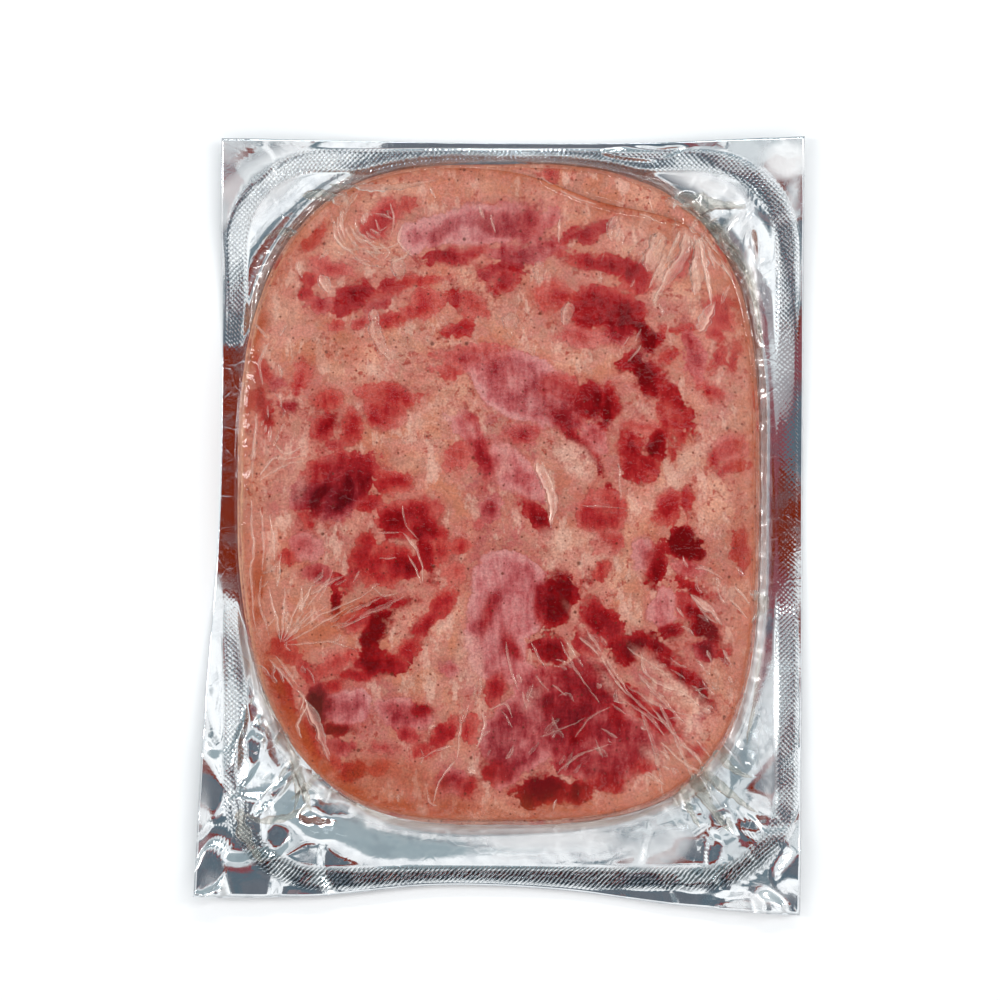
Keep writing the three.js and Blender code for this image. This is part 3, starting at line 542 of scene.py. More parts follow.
class Rays:
    """Rays from the ham's middle, and how far along each the pack's lines are."""

    def __init__(self, outline):
        spoke = outline - HAM_CENTRE
        self.edge = np.hypot(*spoke.T)
        self.direction = spoke / self.edge[:, None]
        self.angle = np.arctan2(self.direction[:, 1], self.direction[:, 0])
        self.ham = ham_radius(self.angle)
        self.short = shortfall(self.angle)
        self.outer = np.minimum(band_distance(self.direction, 0), self.edge - TRIM_LEAST_WIDTH)
        inner = band_distance(self.direction, BAND_WIDTH)
        least = self.ham + FOOT_REACH + TRIM_LEAST_WIDTH
        self.inner = np.minimum(np.maximum(inner, least), self.outer - BAND_LEAST_WIDTH)

    def place(self, distance, shift=(0, 0)):
        x = HAM_CENTRE[0] + shift[0] + self.direction[:, 0] * distance
        y = HAM_CENTRE[1] + shift[1] + self.direction[:, 1] * distance
        return x, y


OUTLINE = pack_outline(long_steps=264, short_steps=216)
# The same rays at full count, and every second, fourth and eighth of them.
RAYS = {every: Rays(OUTLINE[::every]) for every in (1, 2, 4, 8)}
FULL = RAYS[1]


class Skin:
    """Points and faces of one piece, gathered ring by ring."""

    def __init__(self):
        self.points, self.faces, self.count = [], [], 0

    def ring(self, x, y, z):
        ring = np.column_stack(np.broadcast_arrays(x, y, z))
        self.points.append(ring)
        self.count += len(ring)
        return np.arange(self.count - len(ring), self.count)

    def face(self, *corners, flip=False):
        faces = np.column_stack(corners)
        self.faces += (faces[:, ::-1] if flip else faces).tolist()

    def join(self, inner, outer, flip=False):
        """Faces between two rings; the outer has as many points, or twice as many."""
        following = np.roll(inner, -1)
        if len(inner) == len(outer):
            self.face(inner, outer, np.roll(outer, -1), following, flip=flip)
            return
        even, odd = outer[::2], outer[1::2]
        self.face(inner, even, odd, flip=flip)
        self.face(inner, odd, following, flip=flip)
        self.face(following, odd, np.roll(even, -1), flip=flip)

    def close(self, ring, x, y, z, flip=False):
        middle = np.repeat(self.ring([x], [y], [z]), len(ring))
        self.face(middle, ring, np.roll(ring, -1), flip=flip)

    def piece(self, name, **attributes):
        points = np.concatenate(self.points)
        mesh = bpy.data.meshes.new(name)
        mesh.from_pydata((points * MM).tolist(), [], self.faces)
        for label, value in attributes.items():
            values = value(*points.T) if callable(value) else value
            layer = mesh.attributes.new(label, "FLOAT", "POINT")
            layer.data.foreach_set("value", np.asarray(values, np.float32))
        mesh.shade_smooth()
        piece = bpy.data.objects.new(name, mesh)
        bpy.context.collection.objects.link(piece)
        return piece


# ---------------------------------------------------------------- crumple and relief


def ellipse_field(x, y, piece):
    """Distance inside a tilted ellipse of the plan, in millimetres, negative outside."""
    px, py, half_length, half_width, tilt = piece[:5]
    cx, cy = on_plan(px, py)
    c, s = math.cos(math.radians(tilt)), math.sin(math.radians(tilt))
    u = ((x - cx) * c + (y - cy) * s) / half_length
    v = ((y - cy) * c - (x - cx) * s) / half_width
    return (1 - np.hypot(u, v) / PLAN_STEP) * min(half_length, half_width) * PLAN_STEP


CALM_FLANGE = (11.5, 33.0)
CORNER_CRUMPLE = 26
# How strongly each corner is crumpled.
CRUMPLED = {"top left": 0.1, "top right": 0.2, "bottom right": 0.4, "bottom left": 0.5}


def calm(x, y):
    """1 where the side flanges lie flat, 0 elsewhere."""
    middle, reach = CALM_FLANGE
    return np.exp(-(((y - middle) / reach) ** 12)) * (np.abs(x) > 50)


def bend(x, y):
    return x + 1.5 * noise(x, y, 7, 5), y + 1.5 * noise(x, y, 7, 6)


def wrinkled(x, y):
    """How far foil and film are pushed up round the stack, plates aside."""
    from_middle = np.hypot(x - HAM_CENTRE[0], y - HAM_CENTRE[1])
    beyond_ham = from_middle - ham_radius(np.arctan2(y - HAM_CENTRE[1], x - HAM_CENTRE[0]))
    corner = sum(
        share * bell(np.hypot(x - CORNERS[at][0], y - CORNERS[at][1]) / CORNER_CRUMPLE)
        for at, share in CRUMPLED.items())
    panels = 1.0 + 0.42 * facets(*bend(x, y), 10, 21) + 0.15 * fractal(x, y, 8, 25, 2)
    gentle = 0.5 + 0.15 * fractal(x, y, 24, 11, 1)
    flat = np.where(x > 0, 0.55, 0.04)
    height = mix(mix(gentle, panels, smooth(corner * 1.3)), flat, calm(x, y))
    return smooth((beyond_ham - 0.7) / 3.5) * height


def plate_level(plate):
    at = on_plan(*plate[:2])
    return float(lift(*at) + wrinkled(*at))


PLATE_LEVELS = [plate_level(plate) for plate in PLATES]


def crumple(x, y):
    """How far foil and film together are pushed up round the stack."""
    height, under = wrinkled(x, y), lift(x, y)
    for plate, level in zip(PLATES, PLATE_LEVELS):
        inside = smooth(ellipse_field(*bend(x, y), plate) / 0.6 + 0.5)
        height = mix(height, level - under, inside)
    return np.maximum(height, 0)


def weld_relief(x, y):
    return BAND_RELIEF * (1 - calm(x, y) * np.where(x < 0, 1, 0.85))


RELIEF_LEAST, RELIEF_BROAD, RELIEF_FINE = 0.12, 0.11, 0.03


def relief(x, y):
    """How far the pressed top slice sinks below its plane, film and all."""
    broad, fine = fractal(x, y, 15, 31), noise(x, y, 4, 35)
    return RELIEF_LEAST + RELIEF_BROAD * (1 + broad) + RELIEF_FINE * (1 + fine)


# ---------------------------------------------------------------- foil


def weld_share(rays, distance):
    """1 on the welded band, 0 off it, at a distance along each ray."""
    across = (distance - rays.inner) / (rays.outer - rays.inner)
    return smooth(across / BAND_BEVEL) * smooth((1 - across) / BAND_BEVEL)


def foil_sheet():
    skin = Skin()
    shares = np.linspace(0, 1, 34)
    knurled = []

    def face(thickness, flip):
        middle = skin.ring(*RAYS[8].place(6), thickness)
        skin.close(middle, *HAM_CENTRE, thickness, flip=flip)
        knurled.append(np.zeros(len(middle) + 1))
        previous = middle
        for every, reach in ((4, 0.4), (2, 0.7), (1, 0.96)):
            rays = RAYS[every]
            ring = skin.ring(*rays.place(rays.ham * reach), thickness)
            knurled.append(np.zeros(len(ring)))
            skin.join(previous, ring, flip=flip)
            previous = ring
        for share in shares:
            distance = mix(FULL.ham, FULL.edge, share)
            x, y = FULL.place(distance)
            weld = weld_share(FULL, distance)
            z = thickness + lift(x, y) + crumple(x, y) + weld * weld_relief(x, y)
            ring = skin.ring(x, y, z)
            knurled.append(weld * (1 - calm(x, y) * np.where(x < 0, 1, 0.85)))
            skin.join(previous, ring, flip=flip)
            previous = ring
        return previous

    top, bottom = face(FOIL_THICKNESS, False), face(0.0, True)
    skin.face(top, bottom, np.roll(bottom, -1), np.roll(top, -1))
    return skin.piece("foil_sheet", weld=np.concatenate(knurled))


# ---------------------------------------------------------------- ham


LEAN_SWELL = 0.55


def meat_fields(x, y):
    """Lean (distance inside, mm), dark, violet, fat, blush and brown at each point."""
    wx = x + 1.7 * fractal(x, y, 6.5, 41, 3)
    wy = y + 1.7 * fractal(x, y, 6.5, 51, 3)
    lean, weight = np.full(x.shape, -9.0), np.full(x.shape, 1e-6)
    dark, violet = np.zeros(x.shape), np.zeros(x.shape)
    for piece in LEAN_PIECES:
        inside = ellipse_field(wx, wy, piece) + LEAN_SWELL
        lean = np.maximum(lean, inside)
        # Small pieces lie over large ones.
        pull = np.exp(np.clip(inside, -3, 0.7) * 3.2) / (piece[2] * piece[3]) ** 0.8
        weight += pull
        dark += pull * piece[5]
        violet += pull * piece[6]
    fat, blush = np.zeros(x.shape), np.zeros(x.shape)
    for streak in FAT_STREAKS:
        fat = np.maximum(fat, streak[5] * smooth(ellipse_field(wx, wy, streak) / 2 + 0.5))
    for patch in BLUSHES:
        blush = np.maximum(blush, patch[5] * smooth(ellipse_field(wx, wy, patch) / 5 + 0.5))
    brown = np.zeros(x.shape)
    for patch in BROWNED:
        brown = np.maximum(brown, patch[5] * smooth(ellipse_field(wx, wy, patch) / 3 + 0.6))
    return lean, dark / weight, violet / weight, fat, blush, brown


# How much wider each slice lies than the one on it, and how far its edge wanders.
SLICE_FLARE = 0.36
EDGE_WANDER = 0.45
TOP_SHRINK = 0.15
# How far the cut side's colour reaches over the rim.
SIDE_BAND = 0.8
# The rim's brown: its strength, its width, and how much wider at the lower left.
RIM_BROWN = 0.75
RIM_WIDTH = 2.6
RIM_WIDER, RIM_WIDEST_AT, RIM_WIDER_SPREAD = 3.2, math.radians(225), 0.5
# Where the cut sides are creamy, and how far along.
CREAM_AT, CREAM_SPREAD = (-56, 12), 22


def ham_slice(index):
    top = index == SLICE_COUNT - 1
    base = STACK_BASE + index * STACK_PITCH
    shift = SLICE_SHIFTS[index]
    skin = Skin()
    side = []

    def ring(every, share, height, slices):
        rays = RAYS[every]
        wander = fractal(rays.angle * 9, 0 * rays.angle, 1.3, 61 + index)
        wander = EDGE_WANDER * (0.5 + 0.5 * wander)
        flare = SLICE_FLARE * (SLICE_COUNT - 1 - index)
        if top:
            radius = rays.ham - TOP_SHRINK - rays.short - 0.3 * wander
        else:
            radius = rays.ham + flare - SLICE_SHRINK - wander
        x, y = rays.place(radius * share, shift)
        reached = np.hypot(x - HAM_CENTRE[0], y - HAM_CENTRE[1]) / rays.ham
        z = height - pressed(reached, slices)
        side.append(smooth(1 - radius * (1 - share) / SIDE_BAND))
        return skin.ring(x, y, z - relief(x, y) if top and height > base else z)

    step = 0.0076 if top else 0.03
    previous = None
    for every, start, stop in ((8, step, 0.12), (4, 0.12, 0.25), (2, 0.25, 0.5), (1, 0.5, 0.985)):
        if not top:
            every = max(every, 2)
        for share in np.linspace(start, stop, max(int((stop - start) / step), 1), endpoint=False):
            following = ring(every, share, base + SLICE_THICKNESS, index + 1)
            if previous is None:
                skin.close(following, *np.add(HAM_CENTRE, shift), base + SLICE_THICKNESS)
                side.append([0])
            else:
                skin.join(previous, following)
            previous = following
    every = 1 if top else 2
    for angle in np.radians((0, 20, 40, 60, 80, 100, 125, 155)):
        share = 0.985 + 0.015 * math.sin(angle)
        height = base + SLICE_THICKNESS * (0.5 + 0.5 * math.cos(angle))
        slices = index + 0.5 + 0.5 * math.cos(angle)
        following = ring(every, share, height, slices)
        skin.join(previous, following)
        previous = following
    for every, share in ((every, 0.96), (2, 0.8), (4, 0.5), (8, 0.2)):
        following = ring(every, share, base, index)
        skin.join(following, previous, flip=True)
        previous = following
    skin.close(previous, *np.add(HAM_CENTRE, shift), base, flip=True)
    side.append([0])
    side = np.concatenate(side)
    points = np.concatenate(skin.points)
    x, y = points[:, 0], points[:, 1]
    cream = bell(np.hypot(x - CREAM_AT[0], 0.6 * (y - CREAM_AT[1])) / CREAM_SPREAD)
    if not top:
        return skin.piece(f"lower_slice_{index + 1}", side=side, cream=cream)
    lean, dark, violet, fat, blush, brown = meat_fields(x, y)
    around = np.arctan2(y - HAM_CENTRE[1], x - HAM_CENTRE[0])
    depth = ham_radius(around) - shortfall(around) - np.hypot(x - HAM_CENTRE[0], y - HAM_CENTRE[1])
    width = RIM_WIDTH + RIM_WIDER * bell(turn(around, RIM_WIDEST_AT) / RIM_WIDER_SPREAD)
    spread = width + 1.4 * noise(x, y, 9, 66)
    rim = np.maximum(RIM_BROWN * np.exp(-np.maximum(depth, 0) / spread), brown)
    return skin.piece(
        "top_slice", lean=lean, dark=dark, violet=violet, fat=fat, blush=blush, rim=rim, side=side,
        cream=cream)


# ---------------------------------------------------------------- film

FILM_OVER = CLEARANCE + 0.02
# How far the film is drawn in between two slices.
SIDE_PINCH = 0.16
# How cloudy the film is where it folds round the stack's foot.
FOOT_HAZE = 0.5


def web_height(rays, distance):
    """How high the webs hold the film up, at a distance along each ray."""
    highest = np.zeros(len(rays.angle))
    for degrees, reach, height, width in WEBS:
        aside = turn(rays.angle, math.radians(degrees)) * distance
        run = (distance - rays.ham) / ((rays.inner - rays.ham) * reach)
        fold = np.exp(-np.abs(aside + 0.35 * noise(distance, aside, 2.5, 71)) / (0.42 * width))
        highest = np.maximum(highest, height * (1 - smooth(run)) * fold)
    return highest


def film_over_ham(rays, distance):
    step = STACK_PITCH * smooth((rays.short - SHORT_BRIDGED) / SHORT_STEP_RUN)
    hold = rays.ham - rays.short - EDGE_HOLD
    stepped = step * smooth((distance - hold) / (EDGE_HOLD + EDGE_LANDING))
    share = np.minimum(distance / rays.ham, 1)
    return STACK_TOP + FILM_OVER - pressed(share, SLICE_COUNT) - stepped


def film_sheet():
    skin = Skin()
    haze, wall = [], []

    def ring(rays, distance, z, cloudy, steep=0):
        haze.append(np.broadcast_to(cloudy, rays.angle.shape))
        wall.append(np.broadcast_to(steep, rays.angle.shape))
        return skin.ring(*rays.place(distance), z)

    previous = None
    for every, start, stop, step in (
        (4, 0.03, 0.25, 0.03), (2, 0.25, 0.5, 0.02), (1, 0.5, 0.92, 0.0125), (1, 0.92, 1.0, 0.009),
    ):
        rays = RAYS[every]
        for share in np.arange(start, stop - step / 2, step):
            distance = rays.ham * share
            x, y = rays.place(distance)
            z = film_over_ham(rays, distance) - relief(x, y)
            following = ring(rays, distance, z, 0)
            if previous is None:
                skin.close(following, *HAM_CENTRE, STACK_TOP + FILM_OVER - relief(*HAM_CENTRE))
                haze.append([0])
                wall.append([0])
            else:
                skin.join(previous, following)
            previous = following

    # Down the stack's side, drawn in a little between the slices.
    rim = film_over_ham(FULL, FULL.ham)
    x, y = FULL.place(FULL.ham)
    rim_sunk = rim - relief(x, y)
    x, y = FULL.place(FULL.ham + FOOT_REACH)
    foot = lift(x, y) + crumple(x, y) + 2 * CLEARANCE + FOOT_HEIGHT
    foot = np.minimum(foot + web_height(FULL, FULL.ham + FOOT_REACH), rim_sunk - 0.8)
    x, y = FULL.place(FULL.ham)
    # Beside the calm flanges the film lies clear, most of all on the left.
    beside = calm(x, y) * np.where(x < 0, 1, 0.3)
    foot_haze = FOOT_HAZE * (0.35 + 0.65 * smooth(0.3 - FULL.direction[:, 1])) * (1 - 0.95 * beside)
    for share in np.linspace(0, 1, 17):
        drop = mix(share, smooth(share), 0.5)
        z = mix(rim_sunk, foot, drop)
        lean = mix(0.15, FOOT_REACH, share**1.5)
        pinch = np.abs(np.sin(np.pi * (z - STACK_BASE) / STACK_PITCH))
        pinch = SIDE_PINCH * pinch * bell((share - 0.5) * 4)
        wrinkle = 0.22 * noise(FULL.angle * FULL.ham, z, 2.2, 81) * smooth(share * 3)
        following = ring(FULL, FULL.ham + lean - pinch + wrinkle, z, foot_haze * 0.5 * share, 1)
        skin.join(previous, following)
        previous = following

    # Over the gutter, the welded band and the trim.
    for share in np.concatenate((np.linspace(0.03, 0.5, 15), np.linspace(0.54, 1, 13))):
        start = FULL.ham + FOOT_REACH
        distance = mix(start, FULL.inner, share * 2) if share < 0.5 else mix(
            FULL.inner, FULL.edge, share * 2 - 1)
        x, y = FULL.place(distance)
        weld = weld_share(FULL, distance)
        gutter = smooth((FULL.inner - distance) / 2.5)
        web = web_height(FULL, distance)
        web += gutter * 0.3 * ridges(FULL.angle * 60, distance, 2.6, 91)
        z = 2 * CLEARANCE + lift(x, y) + crumple(x, y) + web + weld * weld_relief(x, y)
        z += FOOT_HEIGHT * (1 - smooth(share * 2 / 0.6))
        hazy = foot_haze * (1 - smooth((distance - start) / 5))
        frost = 0 * x
        for patch in FROSTED:
            frost = np.maximum(frost, patch[5] * smooth(ellipse_field(x, y, patch) / 4 + 0.3))
        frost = frost * (0.8 + 0.5 * fractal(x, y, 11, 95)) * (1 - 0.85 * weld)
        web_haze = 0.2 * smooth((web - 0.6) / 2)
        following = ring(FULL, distance, z, np.maximum(np.maximum(hazy, web_haze), frost),
                         beside * (x < 0) * (1 - smooth((distance - start) / 3)))
        skin.join(previous, following)
        previous = following
    return skin.piece("film_sheet", haze=np.concatenate(haze), wall=np.concatenate(wall))


CREASE_HEIGHT = 0.2
WEB_FOLD_HEIGHT = 1.5
# Across a fold: share of its half width, share of its height, how cloudy, or how
# shadowed where that is negative.
FOLD_SECTION = (
    (-1.25, 0, 0), (-0.98, 0.05, -0.4), (-0.75, 0.3, 0.95), (-0.45, 0.8, 0.65), (0, 1, 0.35),
    (0.45, 0.8, 0.3), (0.75, 0.3, 0.35), (1, 0, 0), (0, -0.15, 0),
)


def scattered_creases():
    """Short fine creases that fill the film's puckered regions."""
    chance = np.random.default_rng(17)
    creases = []
    for x0, y0, x1, y1, heading, count in PUCKERED:
        for _ in range(count):
            x, y = chance.uniform(x0, x1), chance.uniform(y0, y1)
            angle = math.radians(heading + chance.normal(0, 14))
            bend, length = chance.normal(0, 0.5), chance.uniform(7, 22)
            way = [(x, y)]
            for _ in range(2):
                x, y = x + math.cos(angle) * length / 2, y - math.sin(angle) * length / 2
                way.append((x, y))
                angle += bend
            creases.append((chance.uniform(1.0, 2.6), chance.uniform(0.2, 0.6), *way))
    for x, y, start, stop, near, far, count, round_it in KNOTS:
        for _ in range(count):
            angle = math.radians(chance.uniform(start, stop))
            reach = chance.uniform(near, far)
            along, over = (0.35, 0) if round_it else (0.06 * chance.normal(), 0.3)
            way = [
                (x + reach * (1 + over * i) * math.cos(angle + along * i),
                 y - reach * (1 + over * i) * math.sin(angle + along * i))
                for i in range(3)]
            creases.append((chance.uniform(1.2, 3.0), chance.uniform(0.4, 0.9), *way))
    return creases


def film_folds(name, folds, film, full_height, seed):
    """Folds that stand up from the film, each tapering to nothing."""
    under = BVHTree.FromPolygons(
        [v.co / MM for v in film.data.vertices], [p.vertices for p in film.data.polygons])
    skin, cloudy = Skin(), []
    for number, (width, strength, *way) in enumerate(folds):
        way = np.array([on_plan(*point) for point in way])
        length = np.hypot(*np.diff(way, axis=0).T).sum()
        share = np.linspace(0, 1, max(int(length / 0.4), 6))
        line = spline(way, share)
        line += 0.2 * np.column_stack(
            [noise(line[:, 0] + number, line[:, 1], 1.7, seed + i) for i in (0, 1)])
        along = np.gradient(line, axis=0)
        aside = np.column_stack((-along[:, 1], along[:, 0])) / np.hypot(*along.T)[:, None]
        taper = np.sin(np.pi * np.clip(share, 0.02, 0.98) ** 0.75) ** 0.8
        ragged = noise(*line.T, 2.5, seed + 2) + noise(*line.T, 0.9, seed + 3)
        half = 0.8 * width * PLAN_STEP * taper * (1 + 0.3 * ragged)
        sections = []
        for place, out, reach in zip(line, aside, half):
            section = []
            for across, up, cloud in FOLD_SECTION:
                x, y = place + out * reach * across
                hit = under.ray_cast((x, y, 30), (0, 0, -1))[0]
                floor = hit[2] if hit else STACK_TOP
                height = full_height * strength * min(reach / 0.3, 1)
                section.append((x, y, floor - 0.02 + up * height))
                cloudy.append(cloud * strength)
            sections.append(skin.ring(*np.array(section).T))
        for one, other in zip(sections, sections[1:]):
            skin.join(one, other, flip=True)
        skin.faces += [sections[0].tolist(), sections[-1][::-1].tolist()]
    return skin.piece(name, haze=cloudy)


# ---------------------------------------------------------------- repeated studs


STUD_SIZES = ("Pitch", "Length", "Width", "Height", "Top share", "Turn")
# Where a row's share of the height is less, it has no studs.
STUD_LEAST = 0.15


def stud_layout(name, material):
    """A node group that sets studs out along lines, and its inputs by name."""
    tree = bpy.data.node_groups.new(name, "GeometryNodeTree")
    socket = tree.interface.new_socket
    socket("Lines", in_out="INPUT", socket_type="NodeSocketGeometry")
    named = {
        label: socket(label, in_out="INPUT", socket_type="NodeSocketFloat").identifier
        for label in STUD_SIZES}
    socket("Studs", in_out="OUTPUT", socket_type="NodeSocketGeometry")
    given = tree.nodes.new("NodeGroupInput").outputs
    curve = node(tree, "GeometryNodeMeshToCurve", {"Mesh": given["Lines"]}).outputs[0]
    spots = node(tree, "GeometryNodeCurveToPoints", {
        "Curve": curve, "Length": given["Pitch"]}, mode="LENGTH").outputs
    stud = node(tree, "GeometryNodeMeshCone", {
        "Vertices": 4, "Radius Bottom": 0.5, "Radius Top": times(tree, given["Top share"], 0.5),
        "Depth": 1.0}, fill_type="TRIANGLE_FAN").outputs[0]
    size = node(tree, "ShaderNodeCombineXYZ", {
        0: given["Length"], 1: given["Width"], 2: given["Height"]}).outputs[0]
    twist = node(tree, "ShaderNodeCombineXYZ", {2: given["Turn"]}).outputs[0]
    stud = node(tree, "GeometryNodeTransform", {"Geometry": stud, "Scale": size}).outputs[0]
    stud = node(tree, "GeometryNodeTransform", {"Geometry": stud, "Rotation": twist}).outputs[0]
    facing = node(tree, "FunctionNodeAlignRotationToVector", {
        "Vector": spots["Tangent"]}, axis="X", pivot_axis="Z").outputs[0]
    chance = node(tree, "FunctionNodeRandomValue", {
        2: 0.75, 3: 1.2, "Seed": 7}, data_type="FLOAT").outputs[1]
    share = node(tree, "GeometryNodeInputNamedAttribute", {
        "Name": "raise"}, data_type="FLOAT").outputs[0]
    scale = node(tree, "ShaderNodeCombineXYZ", {
        0: chance, 1: chance, 2: times(tree, chance, share)}).outputs[0]
    placed = node(tree, "GeometryNodeInstanceOnPoints", {
        "Points": spots["Points"], "Instance": stud, "Rotation": facing, "Scale": scale,
        "Selection": maths(tree, "GREATER_THAN", share, STUD_LEAST)}).outputs[0]
    real = node(tree, "GeometryNodeRealizeInstances", {0: placed}).outputs[0]
    painted = node(tree, "GeometryNodeSetMaterial", {"Geometry": real, "Material": material})
    tree.links.new(painted.outputs[0], tree.nodes.new("NodeGroupOutput").inputs[0])
    return tree, named


def stud_rows(name, rows, material, **sizes):
    """Rows of small pyramids along closed lines.

    Each row has a place and a share of the full height at each of its points.
    """
    points, edges = [], []
    for row in rows:
        start, count = len(points), len(row)
        points += row.tolist()
        edges += [(start + i, start + (i + 1) % count) for i in range(count)]
    points = np.array(points)
    mesh = bpy.data.meshes.new(name)
    mesh.from_pydata((points[:, :3] * MM).tolist(), edges, [])
    layer = mesh.attributes.new("raise", "FLOAT", "POINT")
    layer.data.foreach_set("value", points[:, 3].astype(np.float32))
    piece = bpy.data.objects.new(name, mesh)
    bpy.context.collection.objects.link(piece)

    layout = piece.modifiers.new("layout", "NODES")
    layout.node_group, named = stud_layout(f"{name} layout", material)
    for label, identifier in named.items():
        layout[identifier] = float(sizes[label.lower().replace(" ", "_")])
    evaluated = piece.evaluated_get(bpy.context.evaluated_depsgraph_get())
    finished = bpy.data.meshes.new_from_object(evaluated)
    piece.modifiers.remove(layout)
    piece.data = finished
    return piece


KNURL_ROWS = 7
KNURL_PITCH = 0.95
KNURL_SLANT = math.radians(38)


def knurl(material):
    """The weld's rows of slanting studs, each row half a pitch on from the last."""
    rows = []
    for i, share in enumerate(np.linspace(0.1, 0.9, KNURL_ROWS)):
        distance = mix(FULL.inner, FULL.outer, share)
        x, y = FULL.place(distance)
        z = lift(x, y) + crumple(x, y) + FOIL_THICKNESS + weld_relief(x, y)
        # The right flange keeps its outermost row.
        height = 1 - calm(x, y) * np.where((x > 0) & (i == KNURL_ROWS - 1), 0, 1)
        rows.append(np.roll(np.column_stack((x, y, z, height)), i % 2, axis=0))
    return stud_rows("weld_knurl", rows, material, pitch=KNURL_PITCH * MM, length=1.15 * MM,
                     width=0.22 * MM, height=0.12 * MM, top_share=0.1, turn=KNURL_SLANT)


# ---------------------------------------------------------------- node helpers


def colour(red, green, blue):
    """A screen colour, 0 to 255, as linear light."""
    def linear(v):
        v /= 255
        return v / 12.92 if v <= 0.04045 else ((v + 0.055) / 1.055) ** 2.4
    return (linear(red), linear(green), linear(blue), 1)


def node(tree, kind, inputs=None, **settings):
    made = tree.nodes.new(kind)
    for name, value in settings.items():
        setattr(made, name, value)
    for key, value in (inputs or {}).items():
        if isinstance(value, bpy.types.NodeSocket):
            tree.links.new(value, made.inputs[key])
        else:
            made.inputs[key].default_value = value
    return made


def maths(tree, operation, a, b=0.0, clamp=False):
    made = node(tree, "ShaderNodeMath", {0: a, 1: b}, operation=operation, use_clamp=clamp)
    return made.outputs[0]


def plus(tree, a, b, clamp=False):
    return maths(tree, "ADD", a, b, clamp)


def times(tree, a, b):
    return maths(tree, "MULTIPLY", a, b)


def blended(tree, factor, a, b, how="MIX"):
    made = node(tree, "ShaderNodeMix", {0: factor, 6: a, 7: b}, data_type="RGBA", blend_type=how)
    return made.outputs[2]


def ramped(tree, value, low, high, to_low=0.0, to_high=1.0):
    """A value eased from one range to another, and held beyond its ends."""
    ends = {0: value, 1: low, 2: high, 3: to_low, 4: to_high}
    return node(tree, "ShaderNodeMapRange", ends, interpolation_type="SMOOTHSTEP").outputs[0]


def attribute(tree, name):
    return node(tree, "ShaderNodeAttribute", attribute_name=name).outputs["Fac"]


def speckle(tree, place, size, detail=3.0, roughness=0.55, stretch=None):
    """Noise of lumps `size` millimetres across, about 0.5."""
    if stretch:
        place = node(tree, "ShaderNodeMapping", {"Vector": place, **stretch}).outputs[0]
    return node(tree, "ShaderNodeTexNoise", {
        "Vector": place, "Scale": 1 / (size * MM), "Detail": detail,
        "Roughness": roughness}).outputs[0]


def patches(tree, place, size, detail, roughness, low, high, least=0.0, most=1.0, stretch=None):
    """Noise sharpened into patches, from least to most between two of its levels."""
    lumps = speckle(tree, place, size, detail, roughness, stretch)
    return ramped(tree, lumps, low, high, least, most)


GRAIN_SOCKETS = (
    ("Place", "INPUT", "Vector"), ("Grain scale", "INPUT", "Float"),
    ("Scuff scale", "INPUT", "Float"), ("Scuff share", "INPUT", "Float"),
    ("Height", "OUTPUT", "Float"), ("Mask", "OUTPUT", "Float"),
)


def surface_grain_group():
    """Fine grain with scuffs: a height for a bump, and a mask for roughness."""
    group = bpy.data.node_groups.new("surface grain", "ShaderNodeTree")
    for label, way, kind in GRAIN_SOCKETS:
        group.interface.new_socket(label, in_out=way, socket_type=f"NodeSocket{kind}")
    given = group.nodes.new("NodeGroupInput").outputs
    result = group.nodes.new("NodeGroupOutput").inputs
    fine = node(group, "ShaderNodeTexNoise", {
        "Vector": given["Place"], "Scale": given["Grain scale"], "Detail": 2.0})
    scuff = node(group, "ShaderNodeTexNoise", {
        "Vector": given["Place"], "Scale": given["Scuff scale"], "Detail": 2.0, "Roughness": 0.7})
    scuffed = times(group, ramped(group, scuff.outputs[0], 0.45, 0.7), given["Scuff share"])
    group.links.new(plus(group, fine.outputs[0], scuffed), result["Height"])
    group.links.new(scuffed, result["Mask"])
    return group


GRAIN = surface_grain_group()


def grain(tree, place, grain_size, scuff_size, share):
    made = node(tree, "ShaderNodeGroup")
    made.node_tree = GRAIN
    tree.links.new(place, made.inputs["Place"])
    made.inputs["Grain scale"].default_value = 1 / (grain_size * MM)
    made.inputs["Scuff scale"].default_value = 1 / (scuff_size * MM)
    made.inputs["Scuff share"].default_value = share
    return made.outputs["Height"], made.outputs["Mask"]


def new_material(name):
    material = bpy.data.materials.new(name)
    material.use_nodes = True
    tree = material.node_tree
    tree.nodes.clear()
    output = tree.nodes.new("ShaderNodeOutputMaterial")
    place = node(tree, "ShaderNodeTexCoord").outputs["Object"]
    return material, tree, output, place


# ---------------------------------------------------------------- materials


HATCH_PITCH = 0.78
# Where the bottom weld begins: it is hatched one way only, and its grooves carry more painted
# shade.
BOTTOM_WELD = (-74 * MM, -66 * MM)
FOIL_BRIGHT = colour(226, 231, 235)
FOIL_SCUFFED = colour(196, 203, 210)
# The colour of the painted shade in the weld's grooves.
FOIL_GROOVE_SHADE = colour(66, 80, 84)


def bumped(tree, height, strength, depth):
    """A normal for a height, at a strength and a depth in millimetres."""
    return node(tree, "ShaderNodeBump", {
        "Height": height, "Strength": strength, "Distance": depth * MM}).outputs[0]


